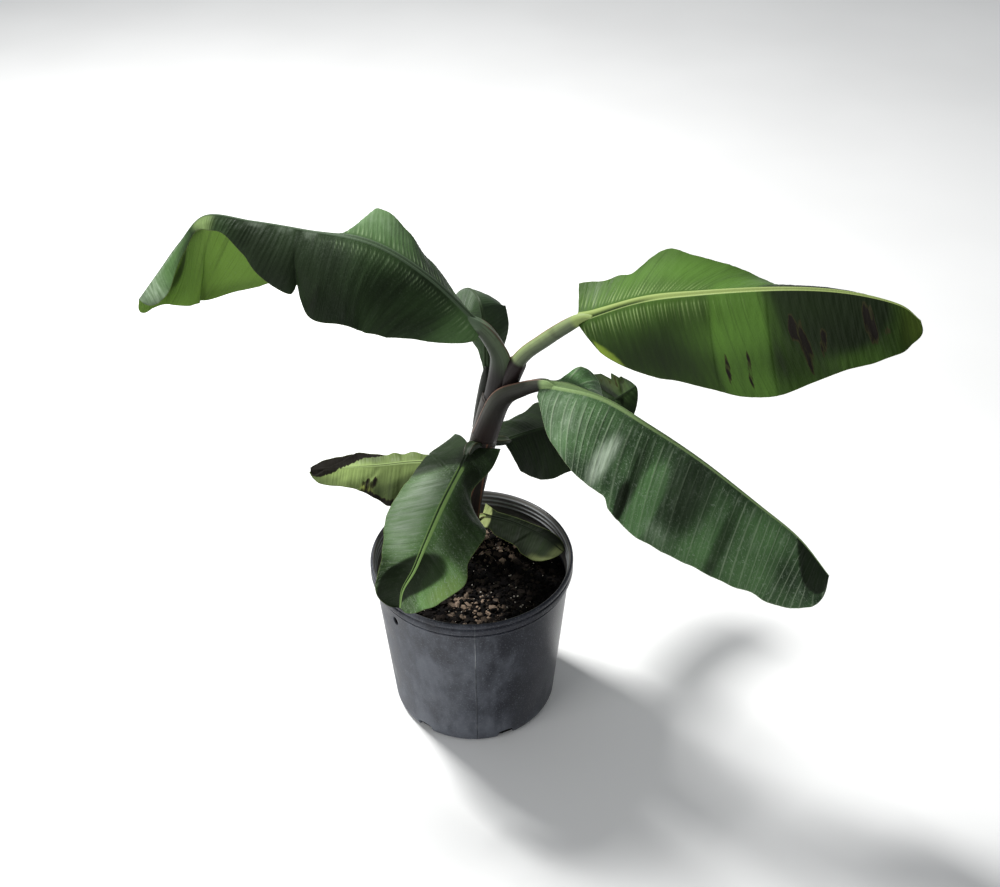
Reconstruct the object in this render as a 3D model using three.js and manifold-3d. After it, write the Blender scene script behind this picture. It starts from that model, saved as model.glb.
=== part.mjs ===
// A young banana plant in a round nursery pot: pot, soil, pseudostem, and eight leaves,
// each a petiole and a blade. The largest blade is split where its tip bends down.
// Millimetres, +Z up, +Y away from the viewer. The origin is the centre of the pot's underside.

import * as THREE from 'three';
import Module from 'manifold-3d';
import { mergeVertices } from 'three/addons/utils/BufferGeometryUtils.js';

const wasm = await Module();
wasm.setup();

// Clearance between two pieces that touch
const gap = 0.3;

// Pot: a 3 gallon nursery size, black polyethylene
const potHeight = 255;
const rimRadius = 140;
const rimHeight = 18;
const rimStep = 4.5;
const rimThickness = 5;
const rimRound = 2;
const innerShoulder = 4;
const baseRadius = 116;
const baseCorner = 6;
const potWall = 2.5;
const potSides = 48;
const holeSides = 12;
const drainSlots = 6;
const drainWidth = 20;
const drainHeight = 8;
const firstDrainAngle = -67;
const hangHole = { angle: -139, height: 212, width: 8, tall: 12 };

// Soil: its level below the rim
const soilDrop = 40;
const soilLevel = potHeight - soilDrop;

// Pseudostem: centre line and radius from the soil to the fork, flared at the foot
const stemPath = [[-24, 73, soilLevel - 15], [-8, 67, 290], [13, 58, 390], [34, 50, 482]];
const stemRadius = [[0, 27], [0.06, 26], [0.2, 22], [0.5, 18], [1, 17.5]];

// Blades are drawn thicker than life, thin to this share at the margin, and end in a rib tip
const bladeThickness = 5.4;
const smallBladeThickness = 3.6;
const marginShare = 0.7;
const leastHalfWidth = 3;
const ribTipRadius = 2.6;
const bendClearance = 1;
const pointsAcross = 5;
const smallPointsAcross = 4;
const ribSides = 6;

// Petioles are flattened by this share of their radius on the upper side
const petioleGroove = 0.45;
const limbSteps = 8;
const limbSides = 10;
const stemSteps = 10;
const stemSides = 14;

// Every list of pairs gives a value at a share of the length.
// A half is the part of a blade to the right or left of its midrib, seen from the petiole:
// width in mm, fold and curl in degrees up from the level across the rib, lean and bend in
// degrees forward along the rib, and tip, where the outline starts to close and how blunt.
// A leaf is drawn in as many stations, and splits at station bendAt where it has one.
const leaves = {
  upper_left: {
    petiole: [[34, 50, 483], [42, 49, 520], [42, 46, 552], [30, 43, 580], [19, 42, 597]],
    petioleRadius: [[0, 17], [0.4, 16], [0.7, 13.5], [1, 10.5]],
    petioleUp: [0.3, 1, 0.2],
    rib: [[19, 42, 597], [-45, 50, 663], [-113, 65, 702], [-200, 90, 709], [-263, 105, 713],
      [-323, 120, 713], [-360, 115, 677], [-386, 105, 636], [-416, 90, 610]],
    stations: 30,
    bendAt: 20,
    thickness: bladeThickness,
    left: {
      width: [[0, 20], [0.03, 39], [0.08, 66], [0.16, 91], [0.25, 103], [0.33, 110], [0.42, 114],
        [0.47, 116], [0.505, 110], [0.535, 86], [0.58, 66], [0.62, 44], [0.67, 24], [0.75, 16],
        [0.88, 20], [1, 18]],
      fold: [[0, -30], [0.3, -35], [0.6, -35], [1, -30]],
      curl: [[0, -60], [0.3, -40], [0.6, -30], [1, -20]],
      lean: [[0, -20], [0.1, 0], [0.3, -10], [0.5, -15], [0.6, 0], [1, 0]],
      tip: [0.8, 0.5],
    },
    right: {
      width: [[0, 25], [0.08, 46], [0.16, 58], [0.25, 66], [0.36, 83], [0.41, 92], [0.45, 104],
        [0.5, 108], [0.58, 102], [0.64, 116], [0.7, 130], [0.76, 120], [0.82, 92], [0.9, 54],
        [1, 30]],
      fold: [[0, -22], [0.1, -12], [0.2, -6], [0.36, 9], [0.39, 0], [0.435, -45], [0.5, -65],
        [1, -75]],
      curl: [[0, -20], [0.28, 0], [0.36, -10], [0.5, -25], [0.6, -40], [1, -35]],
      lean: [[0, -10], [0.2, 5], [0.3, 2], [0.4, 0], [0.58, -6], [0.64, 0], [0.7, 22],
        [0.76, 52], [0.82, 62], [0.9, 66], [1, 66]],
      tip: [0.9, 0.5],
    },
  },
  upper_right: {
    petiole: [[40, 50, 486], [64, 38, 548], [95, 27, 586], [136, 10, 626]],
    petioleRadius: [[0, 15], [0.33, 12.5], [0.66, 10.5], [1, 8.5]],
    rib: [[136, 10, 626], [204, -30, 676], [265, -75, 712], [343, -120, 743], [403, -150, 756],
      [455, -178, 758], [479, -190, 742]],
    stations: 22,
    thickness: bladeThickness,
    left: {
      width: [[0, 50], [0.04, 52], [0.1, 50], [0.17, 58], [0.22, 84], [0.255, 96], [0.31, 88],
        [0.4, 84], [0.5, 92], [0.7, 100], [1, 70]],
      fold: [[0, 38], [0.12, 20], [0.25, 12], [0.4, -6], [0.6, -28], [0.8, -40], [1, -45]],
      curl: [[0, 0], [0.4, 5], [0.6, -20], [1, -20]],
      lean: [[0, -5], [0.15, -10], [0.3, -10], [0.4, 0], [1, 10]],
      tip: [0.8, 0.6],
    },
    right: {
      width: [[0, 8], [0.03, 27], [0.08, 55], [0.16, 80], [0.25, 94], [0.33, 100], [0.42, 111],
        [0.5, 120], [0.6, 118], [0.7, 102], [0.8, 82], [0.88, 70], [1, 66]],
      fold: [[0, -35], [0.3, -45], [1, -50]],
      curl: [[0, -20], [0.5, -30], [1, -10]],
      lean: [[0, 0], [0.4, 5], [1, 15]],
      tip: [0.85, 0.5],
    },
  },
  lower_right: {
    petiole: [[20, 46, 430], [42, 34, 492], [70, 20, 519], [97, 5, 535]],
    petioleRadius: [[0, 17], [0.4, 16], [0.7, 12.5], [1, 10]],
    rib: [[97, 5, 536], [164, -30, 540], [223, -65, 521], [286, -95, 489], [355, -125, 443],
      [406, -140, 402], [447, -151, 350]],
    stations: 22,
    thickness: bladeThickness,
    left: {
      width: [[0, 22], [0.04, 38], [0.08, 42], [0.16, 60], [0.3, 105], [0.5, 115], [0.7, 100],
        [1, 80]],
      fold: [[0, -15], [0.06, 5], [0.12, 0], [0.2, -50], [0.3, -65], [1, -70]],
      curl: [[0, 0], [1, -10]],
      lean: [[0, -20], [0.1, 0], [1, 10]],
      tip: [0.8, 0.5],
    },
    right: {
      width: [[0, 21], [0.03, 39], [0.08, 72], [0.16, 97], [0.25, 106], [0.33, 118],
        [0.42, 127], [0.5, 124], [0.6, 116], [0.7, 107], [0.8, 95], [0.88, 88], [1, 86]],
      fold: [[0, -35], [1, -38]],
      curl: [[0, -20], [0.5, -30], [1, -30]],
      lean: [[0, -35], [0.25, 0], [1, 15]],
      bend: [[0, 40], [0.3, 5], [1, 10]],
      tip: [0.9, 0.45],
    },
  },
  back_right: {
    petiole: [[10, 62, 376], [24, 66, 396], [44, 70, 397]],
    petioleRadius: [[0, 9], [0.5, 7], [1, 6]],
    rib: [[44, 70, 397], [81, 110, 382], [140, 160, 365], [193, 205, 358], [240, 230, 374]],
    stations: 16,
    thickness: smallBladeThickness,
    left: {
      width: [[0, 30], [0.2, 60], [0.5, 76], [0.8, 74], [1, 60]],
      fold: [[0, -10], [0.5, 0], [1, 20]],
      curl: -20,
      tip: [0.8, 0.5],
    },
    right: {
      width: [[0, 48], [0.16, 62], [0.33, 76], [0.5, 72], [0.7, 56], [1, 50]],
      fold: [[0, -30], [0.3, -60], [1, -45]],
      curl: -20,
      tip: [0.7, 0.6],
    },
  },
  front: {
    petiole: [[12, 56, 392], [8, 40, 412], [0, 25, 419]],
    petioleRadius: [[0, 9], [0.5, 8], [1, 7]],
    rib: [[0, 25, 419], [-10, -10, 415], [-34, -60, 394], [-55, -100, 365], [-70, -120, 336],
      [-85, -130, 311], [-90, -130, 280]],
    stations: 18,
    thickness: smallBladeThickness,
    left: {
      width: [[0, 48], [0.06, 42], [0.12, 35], [0.18, 33], [0.25, 42], [0.33, 60], [0.42, 67],
        [0.5, 64], [0.6, 60], [0.7, 67], [0.8, 52], [1, 36]],
      fold: [[0, -25], [0.1, -35], [0.2, -60], [0.3, -50], [0.4, -25], [0.6, -20], [1, 10]],
      curl: [[0, -10], [1, 20]],
      lean: [[0, -35], [0.15, 0], [1, 0]],
      tip: [0.8, 0.5],
    },
    right: {
      width: [[0, 54], [0.08, 64], [0.25, 62], [0.5, 68], [0.6, 64], [0.7, 52], [0.8, 42],
        [1, 38]],
      fold: [[0, -25], [0.3, -8], [1, 10]],
      curl: [[0, -10], [1, 20]],
      lean: [[0, -52], [0.12, -18], [0.3, 0], [1, 0]],
      bend: [[0, 30], [0.2, 0], [1, 0]],
      tip: [0.8, 0.5],
    },
  },
  low_left: {
    petiole: [[-16, 68, 290], [-27, 64, 335], [-41, 60, 370]],
    petioleRadius: [[0, 8], [0.5, 6.5], [1, 5]],
    rib: [[-41, 60, 370], [-84, 70, 361], [-128, 75, 352], [-195, 85, 340], [-226, 95, 329]],
    stations: 14,
    thickness: smallBladeThickness,
    left: {
      width: [[0, 30], [0.2, 52], [0.42, 57], [0.5, 46], [0.6, 35], [0.7, 28], [0.85, 25],
        [1, 28]],
      fold: [[0, -40], [0.5, -45], [1, -40]],
      curl: -20,
      tip: [0.8, 0.5],
    },
    right: {
      width: [[0, 10], [0.2, 20], [0.33, 19], [0.5, 22], [0.62, 25], [0.75, 20], [1, 20]],
      fold: [[0, 0], [1, 10]],
      curl: [[0, 0], [1, 20]],
      tip: [0.75, 0.5],
    },
  },
  in_pot: {
    petiole: [[-8, 74, 226], [0, 84, 240], [14, 90, 248]],
    petioleRadius: [[0, 6], [0.5, 5], [1, 4]],
    rib: [[14, 90, 248], [55, 77, 248], [95, 49, 243], [122, 14, 238]],
    stations: 12,
    thickness: smallBladeThickness,
    left: {
      width: [[0, 12], [0.2, 28], [0.5, 34], [1, 32]],
      fold: 48,
      curl: 10,
      tip: [0.7, 0.5],
    },
    right: {
      width: [[0, 12], [0.2, 24], [0.5, 28], [1, 28]],
      fold: [[0, -35], [1, -30]],
      curl: 10,
      tip: [0.7, 0.5],
    },
  },
  back: {
    petiole: [[14, 64, 430], [18, 66, 465], [23, 64, 505]],
    petioleRadius: [[0, 11], [0.5, 9], [1, 7]],
    petioleUp: [0.3, 1, 0],
    rib: [[23, 64, 505], [22, 74, 560], [16, 92, 600], [3, 135, 596], [-14, 190, 560],
      [-30, 235, 510]],
    stations: 14,
    thickness: smallBladeThickness,
    left: {
      width: [[0, 2], [0.12, 12], [0.22, 38], [0.5, 42], [1, 36]],
      fold: [[0, -15], [0.4, -45], [1, -55]],
      curl: -25,
      tip: [0.7, 0.5],
    },
    right: {
      width: [[0, 8], [0.1, 24], [0.2, 38], [0.5, 42], [1, 36]],
      fold: [[0, -5], [0.3, -25], [1, -55]],
      curl: -25,
      tip: [0.7, 0.5],
    },
  },
};

// Colours of the pieces
const paint = (color, roughness) =>
  new THREE.MeshStandardMaterial({ color, roughness, metalness: 0 });
const potPlastic = paint('#3d3f48', 0.5);
const barkMix = paint('#4a3428', 0.95);
const sheath = paint('#4b3a3c', 0.5);
const petioleGreen = paint('#7f8f4a', 0.45);
const bladeGreen = paint('#4f7a3c', 0.4);

// The value of a list of [share, value] pairs at a share of the length, on a smooth curve
function follow(keys, t) {
  if (typeof keys === 'number') return keys;
  if (t <= keys[0][0]) return keys[0][1];
  const last = keys.length - 1;
  if (t >= keys[last][0]) return keys[last][1];
  let i = 0;
  while (keys[i + 1][0] < t) i += 1;
  const [t0, v0] = keys[i];
  const [t1, v1] = keys[i + 1];
  const span = t1 - t0;
  const straight = (v1 - v0) / span;
  const slope0 = i === 0 ? straight : (v1 - keys[i - 1][1]) / (t1 - keys[i - 1][0]);
  const slope1 = i + 1 === last ? straight : (keys[i + 2][1] - v0) / (keys[i + 2][0] - t0);
  const w = (t - t0) / span;
  const w2 = w * w;
  const w3 = w2 * w;
  return (2 * w3 - 3 * w2 + 1) * v0 + (w3 - 2 * w2 + w) * span * slope0
    + (3 * w2 - 2 * w3) * v1 + (w3 - w2) * span * slope1;
}

// A smooth curve through the points, and its frame at even steps of length:
// the point, the way along, the way to the right and the way up
function curveFrames(points, steps, up = [0, 0, 1]) {
  const curve = new THREE.CatmullRomCurve3(
    points.map((p) => new THREE.Vector3(...p)), false, 'catmullrom', 0.5);
  curve.arcLengthDivisions = 400;
  const frames = [];
  let normal = new THREE.Vector3(...up);
  for (let i = 0; i <= steps; i += 1) {
    const point = curve.getPointAt(i / steps);
    const along = curve.getTangentAt(i / steps);
    normal = normal.clone().addScaledVector(along, -normal.dot(along)).normalize();
    const side = new THREE.Vector3().crossVectors(along, normal);
    frames.push({ point, along, side, normal, t: i / steps });
  }
  return frames;
}

// A geometry as a solid that faces outwards
function solidOf(geometry) {
  const plain = geometry.clone();
  plain.deleteAttribute('normal');
  plain.deleteAttribute('uv');
  const merged = mergeVertices(plain, 1e-4);
  const triVerts = new Uint32Array(merged.index.array);
  const vertProperties = merged.attributes.position.array;
  const build = () => new wasm.Manifold(new wasm.Mesh({ numProp: 3, vertProperties, triVerts }));
  const made = build();
  if (made.volume() > 0) return made;
  for (let i = 0; i < triVerts.length; i += 3) {
    [triVerts[i + 1], triVerts[i + 2]] = [triVerts[i + 2], triVerts[i + 1]];
  }
  return build();
}

// A solid skinned over closed rings that all have the same even number of points
function loft(rings) {
  const sides = rings[0].length;
  const positions = rings.flat().flatMap((p) => [p.x, p.y, p.z]);
  const index = [];
  const at = (i, j) => i * sides + (j % sides);
  for (let i = 0; i + 1 < rings.length; i += 1) {
    for (let j = 0; j < sides; j += 1) {
      index.push(at(i, j), at(i + 1, j), at(i + 1, j + 1));
      index.push(at(i, j), at(i + 1, j + 1), at(i, j + 1));
    }
  }
  const last = rings.length - 1;
  for (let low = 0; low + 1 < sides / 2; low += 1) {
    const high = sides - 1 - low;
    index.push(at(0, low), at(0, low + 1), at(0, high));
    index.push(at(0, low + 1), at(0, high - 1), at(0, high));
    index.push(at(last, low), at(last, high), at(last, low + 1));
    index.push(at(last, low + 1), at(last, high), at(last, high - 1));
  }
  const geometry = new THREE.BufferGeometry();
  geometry.setAttribute('position', new THREE.Float32BufferAttribute(positions, 3));
  geometry.setIndex(index);
  return solidOf(geometry);
}

// A ring of points about a centre, with its radius given for each angle from the upper side
function ringAround(centre, side, normal, radiusAt, sides) {
  const ring = [];
  for (let j = 0; j < sides; j += 1) {
    const angle = (2 * Math.PI * j) / sides;
    ring.push(centre.clone()
      .addScaledVector(normal, radiusAt(angle) * Math.cos(angle))
      .addScaledVector(side, radiusAt(angle) * Math.sin(angle)));
  }
  return ring;
}

// A tapering limb along a curve. groove flattens its upper side, and grow makes it larger
// all round by a clearance, so that it can be cut from its neighbours.
function limb(points, radius, options) {
  const { steps = limbSteps, sides = limbSides, up, groove = 0, grow = 0 } = options;
  const frames = curveFrames(points, steps, up);
  frames[0].point.addScaledVector(frames[0].along, -grow);
  frames[steps].point.addScaledVector(frames[steps].along, grow);
  return loft(frames.map(({ point, side, normal, t }) => {
    const flattened = (angle) => 1 - groove * Math.max(0, Math.cos(angle)) ** 1.5;
    const radiusAt = (angle) => follow(radius, t) * flattened(angle) + grow;
    return ringAround(point, side, normal, radiusAt, sides);
  }));
}

// How much of its width a half keeps near the tip, where its outline closes
function closing(half, t) {
  const [start, bluntness] = half.tip;
  if (t <= start) return 1;
  return Math.max(0, 1 - ((t - start) / (1 - start)) ** 2) ** bluntness;
}

// The points across one half, from the midrib to the margin, each with its outward normal
function acrossHalf(half, sign, frame, across) {
  const { point, along, side, normal, t } = frame;
  const width = Math.max(leastHalfWidth, follow(half.width, t) * closing(half, t));
  const rise = (u) => THREE.MathUtils.degToRad(follow(half.fold, t) + follow(half.curl, t) * u);
  const forward = (u) => THREE.MathUtils.degToRad(
    follow(half.lean ?? 0, t) + follow(half.bend ?? 0, t) * u);
  const line = [];
  const place = point.clone();
  for (let j = 0; j <= across; j += 1) {
    const u = j / across;
    const out = normal.clone().multiplyScalar(Math.cos(rise(u)))
      .addScaledVector(side, -sign * Math.sin(rise(u)));
    line.push({ place: place.clone(), out, u });
    const next = u + 0.5 / across;
    const way = side.clone().multiplyScalar(sign * Math.cos(rise(next)))
      .addScaledVector(normal, Math.sin(rise(next)))
      .multiplyScalar(Math.cos(forward(next)))
      .addScaledVector(along, Math.sin(forward(next)));
    place.addScaledVector(way, width / across);
  }
  return line;
}

// One half of a blade as a thin plate
function halfPlate(half, sign, frames, thickness, across) {
  const rings = frames.map((frame) => {
    const line = acrossHalf(half, sign, frame, across);
    const raised = (way) => line.map(({ place, out, u }) => place.clone().addScaledVector(
      out, way * (thickness / 2) * THREE.MathUtils.lerp(1, marginShare, u)));
    return [...raised(1), ...raised(-1).reverse()];
  });
  return loft(rings);
}

// The midrib of a blade as a tapering six-sided rod
function ribRod(leaf, frames) {
  const startRadius = 0.8 * leaf.petioleRadius.at(-1)[1];
  return loft(frames.map(({ point, side, normal, t }) => {
    const tapered = THREE.MathUtils.lerp(startRadius, ribTipRadius, t);
    const radius = Math.max(0.62 * leaf.thickness, tapered);
    return ringAround(point, side, normal, () => radius, ribSides);
  }));
}

// A blade over the given frames: two halves joined along the midrib
function blade(leaf, frames) {
  const across = leaf.thickness === bladeThickness ? pointsAcross : smallPointsAcross;
  const right = halfPlate(leaf.right, 1, frames, leaf.thickness, across);
  const left = halfPlate(leaf.left, -1, frames, leaf.thickness, across);
  return right.add(left).add(ribRod(leaf, frames));
}

// The largest body of a solid that a cut may have left in pieces
function largest(solid) {
  const bodies = solid.decompose();
  return bodies.reduce((best, body) => (body.volume() > best.volume() ? body : best));
}

const plant = new THREE.Group();

// Adds a solid to the plant as a named mesh
function place(name, solid, material) {
  const mesh = solid.getMesh();
  const geometry = new THREE.BufferGeometry();
  geometry.setAttribute('position', new THREE.Float32BufferAttribute(mesh.vertProperties, 3));
  geometry.setIndex(new THREE.BufferAttribute(mesh.triVerts, 1));
  const piece = new THREE.Mesh(geometry, material);
  piece.name = name;
  plant.add(piece);
}

// A turned solid about the vertical axis from [radius, height] pairs
function turned(profile) {
  const points = profile.map(([radius, height]) => new THREE.Vector2(radius, height));
  return solidOf(new THREE.LatheGeometry(points, potSides).rotateX(Math.PI / 2));
}

// The pot's outer radius at a height below the rim
const wallTop = potHeight - rimHeight;
const wallTopRadius = rimRadius - rimStep;
const wallRadius = (height) =>
  THREE.MathUtils.lerp(baseRadius, wallTopRadius, Math.max(0, height) / wallTop);

function makePot() {
  const shell = turned([
    [0, 0],
    [baseRadius - baseCorner, 0],
    [baseRadius - baseCorner * 0.3, baseCorner * 0.3],
    [wallRadius(baseCorner), baseCorner],
    [wallTopRadius, wallTop],
    [rimRadius, wallTop + rimRound],
    [rimRadius, potHeight - rimRound],
    [rimRadius - rimRound, potHeight],
    [rimRadius - rimThickness, potHeight],
    [wallTopRadius - potWall, wallTop - innerShoulder],
    [wallRadius(baseCorner) - potWall, baseCorner],
    [baseRadius - baseCorner, potWall],
    [0, potWall],
  ]);
  let pot = shell;
  for (let i = 0; i < drainSlots; i += 1) {
    const slot = new THREE.BoxGeometry(3 * baseCorner, drainWidth, 2 * drainHeight);
    slot.translate(baseRadius, 0, 0);
    slot.rotateZ(THREE.MathUtils.degToRad(firstDrainAngle + (360 / drainSlots) * i));
    pot = pot.subtract(solidOf(slot));
  }
  const holeRadius = hangHole.width / 2;
  const hole = new THREE.CylinderGeometry(holeRadius, holeRadius, 8 * potWall, holeSides);
  hole.rotateZ(Math.PI / 2);
  hole.scale(1, 1, hangHole.tall / hangHole.width);
  hole.translate(wallRadius(hangHole.height), 0, hangHole.height);
  hole.rotateZ(THREE.MathUtils.degToRad(hangHole.angle));
  return pot.subtract(solidOf(hole));
}

function makeSoil() {
  const inside = potWall + 2 * gap;
  return turned([
    [0, potWall + gap],
    [baseRadius - baseCorner - 2 * gap, potWall + gap],
    [wallRadius(baseCorner) - inside, baseCorner],
    [wallRadius(soilLevel) - inside, soilLevel],
    [0, soilLevel],
  ]);
}

// The space of the pot's wall and the soil with the clearance, which the plant keeps out of
function makePotSpace() {
  const inside = potWall + 3 * gap;
  const low = soilLevel - soilDrop;
  return turned([
    [0, low],
    [rimRadius + 2 * gap, low],
    [rimRadius + 2 * gap, potHeight + gap],
    [rimRadius - rimThickness - 2 * gap, potHeight + gap],
    [wallTopRadius - inside, wallTop - innerShoulder],
    [wallRadius(soilLevel) - inside, soilLevel + gap],
    [0, soilLevel + gap],
  ]);
}

place('pot', makePot(), potPlastic);
place('soil', makeSoil(), barkMix);
const potSpace = makePotSpace();

const stem = (grow) => limb(stemPath, stemRadius,
  { steps: stemSteps, sides: stemSides, up: [0, 1, 0], grow });
place('stem', largest(stem(0).subtract(potSpace)), sheath);

// Petioles rise from the stem one over another, so each is cut clear of those before it
const order = ['upper_left', 'lower_right', 'upper_right', 'back', 'back_right', 'front',
  'low_left', 'in_pot'];
let taken = stem(gap).add(potSpace);
for (const name of order) {
  const leaf = leaves[name];
  const petiole = (grow) => limb(leaf.petiole, leaf.petioleRadius,
    { up: leaf.petioleUp, groove: petioleGroove, grow });
  place(`petiole_${name}`, largest(petiole(0).subtract(taken)), petioleGreen);
  taken = taken.add(petiole(gap));
}

for (const name of order) {
  const leaf = leaves[name];
  const frames = curveFrames(leaf.rib, leaf.stations);
  const bladeNode = (node, along) =>
    place(node, largest(blade(leaf, along).subtract(taken)), bladeGreen);
  if (leaf.bendAt) {
    bladeNode(`blade_${name}`, frames.slice(0, leaf.bendAt + 1));
    const bend = frames[leaf.bendAt];
    bend.point.addScaledVector(bend.along, bendClearance);
    bladeNode(`blade_${name}_tip`, frames.slice(leaf.bendAt));
  } else {
    bladeNode(`blade_${name}`, frames);
  }
}

export default plant;
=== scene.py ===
import math

import bmesh
import bpy
import numpy as np
from mathutils import Matrix, Vector


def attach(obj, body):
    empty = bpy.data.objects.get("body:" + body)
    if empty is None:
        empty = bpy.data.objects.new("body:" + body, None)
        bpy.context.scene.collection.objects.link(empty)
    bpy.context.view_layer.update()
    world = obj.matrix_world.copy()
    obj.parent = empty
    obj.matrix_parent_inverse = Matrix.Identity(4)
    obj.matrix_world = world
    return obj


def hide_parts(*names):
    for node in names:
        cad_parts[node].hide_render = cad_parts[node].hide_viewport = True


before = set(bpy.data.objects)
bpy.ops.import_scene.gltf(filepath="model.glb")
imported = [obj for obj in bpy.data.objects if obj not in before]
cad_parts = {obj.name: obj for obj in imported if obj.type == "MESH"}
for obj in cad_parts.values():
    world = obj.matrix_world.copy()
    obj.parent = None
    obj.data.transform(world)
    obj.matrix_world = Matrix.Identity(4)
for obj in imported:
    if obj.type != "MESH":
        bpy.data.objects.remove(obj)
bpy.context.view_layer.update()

# Camera. It stands in front of the plant, a little to the right of the pot and above the top
# leaf, and looks down at 37 degrees. It is turned a touch about its own line of sight.
CAMERA_PLACE = (0.040, -1.3363, 1.4575)
TILT_FROM_STRAIGHT_DOWN = 52.85
ROLL = -0.45
SENSOR_WIDTH = 36
FOCAL_LENGTH = 46.8

camera_data = bpy.data.cameras.new("camera")
camera_data.sensor_width = SENSOR_WIDTH
camera_data.lens = FOCAL_LENGTH
camera = bpy.data.objects.new("camera", camera_data)
camera.matrix_world = (
    Matrix.Translation(CAMERA_PLACE)
    @ Matrix.Rotation(math.radians(TILT_FROM_STRAIGHT_DOWN), 4, "X")
    @ Matrix.Rotation(math.radians(ROLL), 4, "Z")
)
bpy.context.collection.objects.link(camera)
bpy.context.scene.camera = camera

# Pot. A blow-moulded black polyethylene nursery pot of 3 gallons, with a folded rim band, a
# shoulder under it, a mould seam down the front and the back, and six drain slots at its foot.
# The wall is turned from one profile, and the slots and the hanging hole are cut through it.
POT_HEIGHT = 255
RIM_RADIUS = 140
RIM_HEIGHT = 18
SHOULDER_HEIGHT = 8
WALL_TOP_RADIUS = 135.5
FOOT_RADIUS = 116
FOOT_ROUND = 9
INSIDE_CORNER = 12
POT_WALL = 2.5
# Three rings run round the inside of the rim, which slopes in towards the soil
RING_HEIGHTS = (249, 242, 235)
RIM_INSET = 5.2
RIM_SLOPE = 0.1
# Above this height the inner wall and its rings carry painted light
HIGHLIT_ABOVE = 212
# Turns and the seam's half width are in degrees round the pot, from +X towards +Y
SEAM_TURNS = (-87.8, 92.2)
SEAM_HALF_WIDTH = 0.42
SEAM_HEIGHT = 0.7
DRAIN_SLOTS = 6
DRAIN_TURN = -67
DRAIN_SLOT = dict(deep=26, wide=25, tall=32, squareness=0.6)
HOLE_TURN = -140
HOLE_HEIGHT = 212
HANGING_HOLE = dict(deep=14, wide=10, tall=14, squareness=0)
# Sizes are in millimetres, and this turns them to Blender's metres
MM = 0.001


def linear(code):
    """An sRGB hex colour as the linear colour that the shaders take."""
    parts = [int(code[i:i + 2], 16) / 255 for i in (1, 3, 5)]
    return (*[c / 12.92 if c <= 0.04045 else ((c + 0.055) / 1.055) ** 2.4 for c in parts], 1)


def add(tree, kind, sockets=None, output=0, **settings):
    """Adds a node with its settings, values and links, and gives one of its outputs."""
    node = tree.nodes.new(kind)
    for name, value in settings.items():
        setattr(node, name, value)
    for key, value in (sockets or {}).items():
        if isinstance(value, bpy.types.NodeSocket):
            tree.links.new(value, node.inputs[key])
        else:
            node.inputs[key].default_value = value
    return node.outputs[output] if node.outputs else node


def coated(tree, base, coat, value, low, high, most=1.0):
    """Lays one colour over another where a value rises from low to high, up to a share."""
    share = add(tree, "ShaderNodeMapRange", {"Value": value, "From Min": low, "From Max": high,
                                             "To Max": most}, interpolation_type="SMOOTHSTEP")
    base, coat = (linear(c) if isinstance(c, str) else c for c in (base, coat))
    return add(tree, "ShaderNodeMix", {0: share, 6: base, 7: coat}, output=2, data_type="RGBA")


def finish(name, paint, **constants):
    """A material of one shader: paint gives its linked sockets, and the rest are set on it."""
    material = bpy.data.materials.new(name)
    material.use_nodes = True
    tree = material.node_tree
    tree.nodes.clear()
    shader = tree.nodes.new("ShaderNodeBsdfPrincipled")
    for socket, value in constants.items():
        shader.inputs[socket.replace("_", " ")].default_value = value
    for socket, source in paint(tree).items():
        tree.links.new(source, shader.inputs[socket])
    add(tree, "ShaderNodeOutputMaterial", {"Surface": shader.outputs["BSDF"]})
    return material


def grid_faces(rows, columns, closed=False, start=0, flip=False):
    """Quads over a grid of points, with the last column joined to the first if closed."""
    i, j = np.meshgrid(np.arange(rows - 1), np.arange(columns if closed else columns - 1),
                       indexing="ij")
    a = start + i * columns + j
    b = start + i * columns + (j + 1) % columns
    quads = np.stack([a, b, b + columns, a + columns], -1).reshape(-1, 4)
    return (quads[:, ::-1] if flip else quads).tolist()


def fan_faces(count, start, centre, flip=False):
    """Triangles from a ring of points to a centre point."""
    fan = [(start + j, start + (j + 1) % count, centre) for j in range(count)]
    return [face[::-1] for face in fan] if flip else fan


def mesh_of(name, points, faces):
    """A smooth mesh from points in millimetres."""
    mesh = bpy.data.meshes.new(name)
    mesh.from_pydata((np.asarray(points, float) * MM).tolist(), [], faces)
    mesh.polygons.foreach_set("use_smooth", [True] * len(mesh.polygons))
    return mesh


def fitted(name, mesh, material, slot, *replaced):
    """A piece of the plant from a mesh, riding on its one body."""
    made = bpy.data.objects.new(name, mesh)
    bpy.context.collection.objects.link(made)
    mesh.materials.clear()
    mesh.materials.append(material)
    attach(made, "root")
    if replaced:
        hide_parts(*replaced)
    return made


def evaluated_mesh(source):
    """The plain mesh of an object with its modifiers applied."""
    bpy.context.view_layer.update()
    return bpy.data.meshes.new_from_object(
        source.evaluated_get(bpy.context.evaluated_depsgraph_get()))


def signed_turn(degrees):
    """An angle in degrees brought into the range from -180 to 180."""
    return (degrees + 180) % 360 - 180


def wall_radius(height):
    """The pot's outer radius at a height below its rim."""
    return FOOT_RADIUS + (WALL_TOP_RADIUS - FOOT_RADIUS) * height / (POT_HEIGHT - RIM_HEIGHT)


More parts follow.
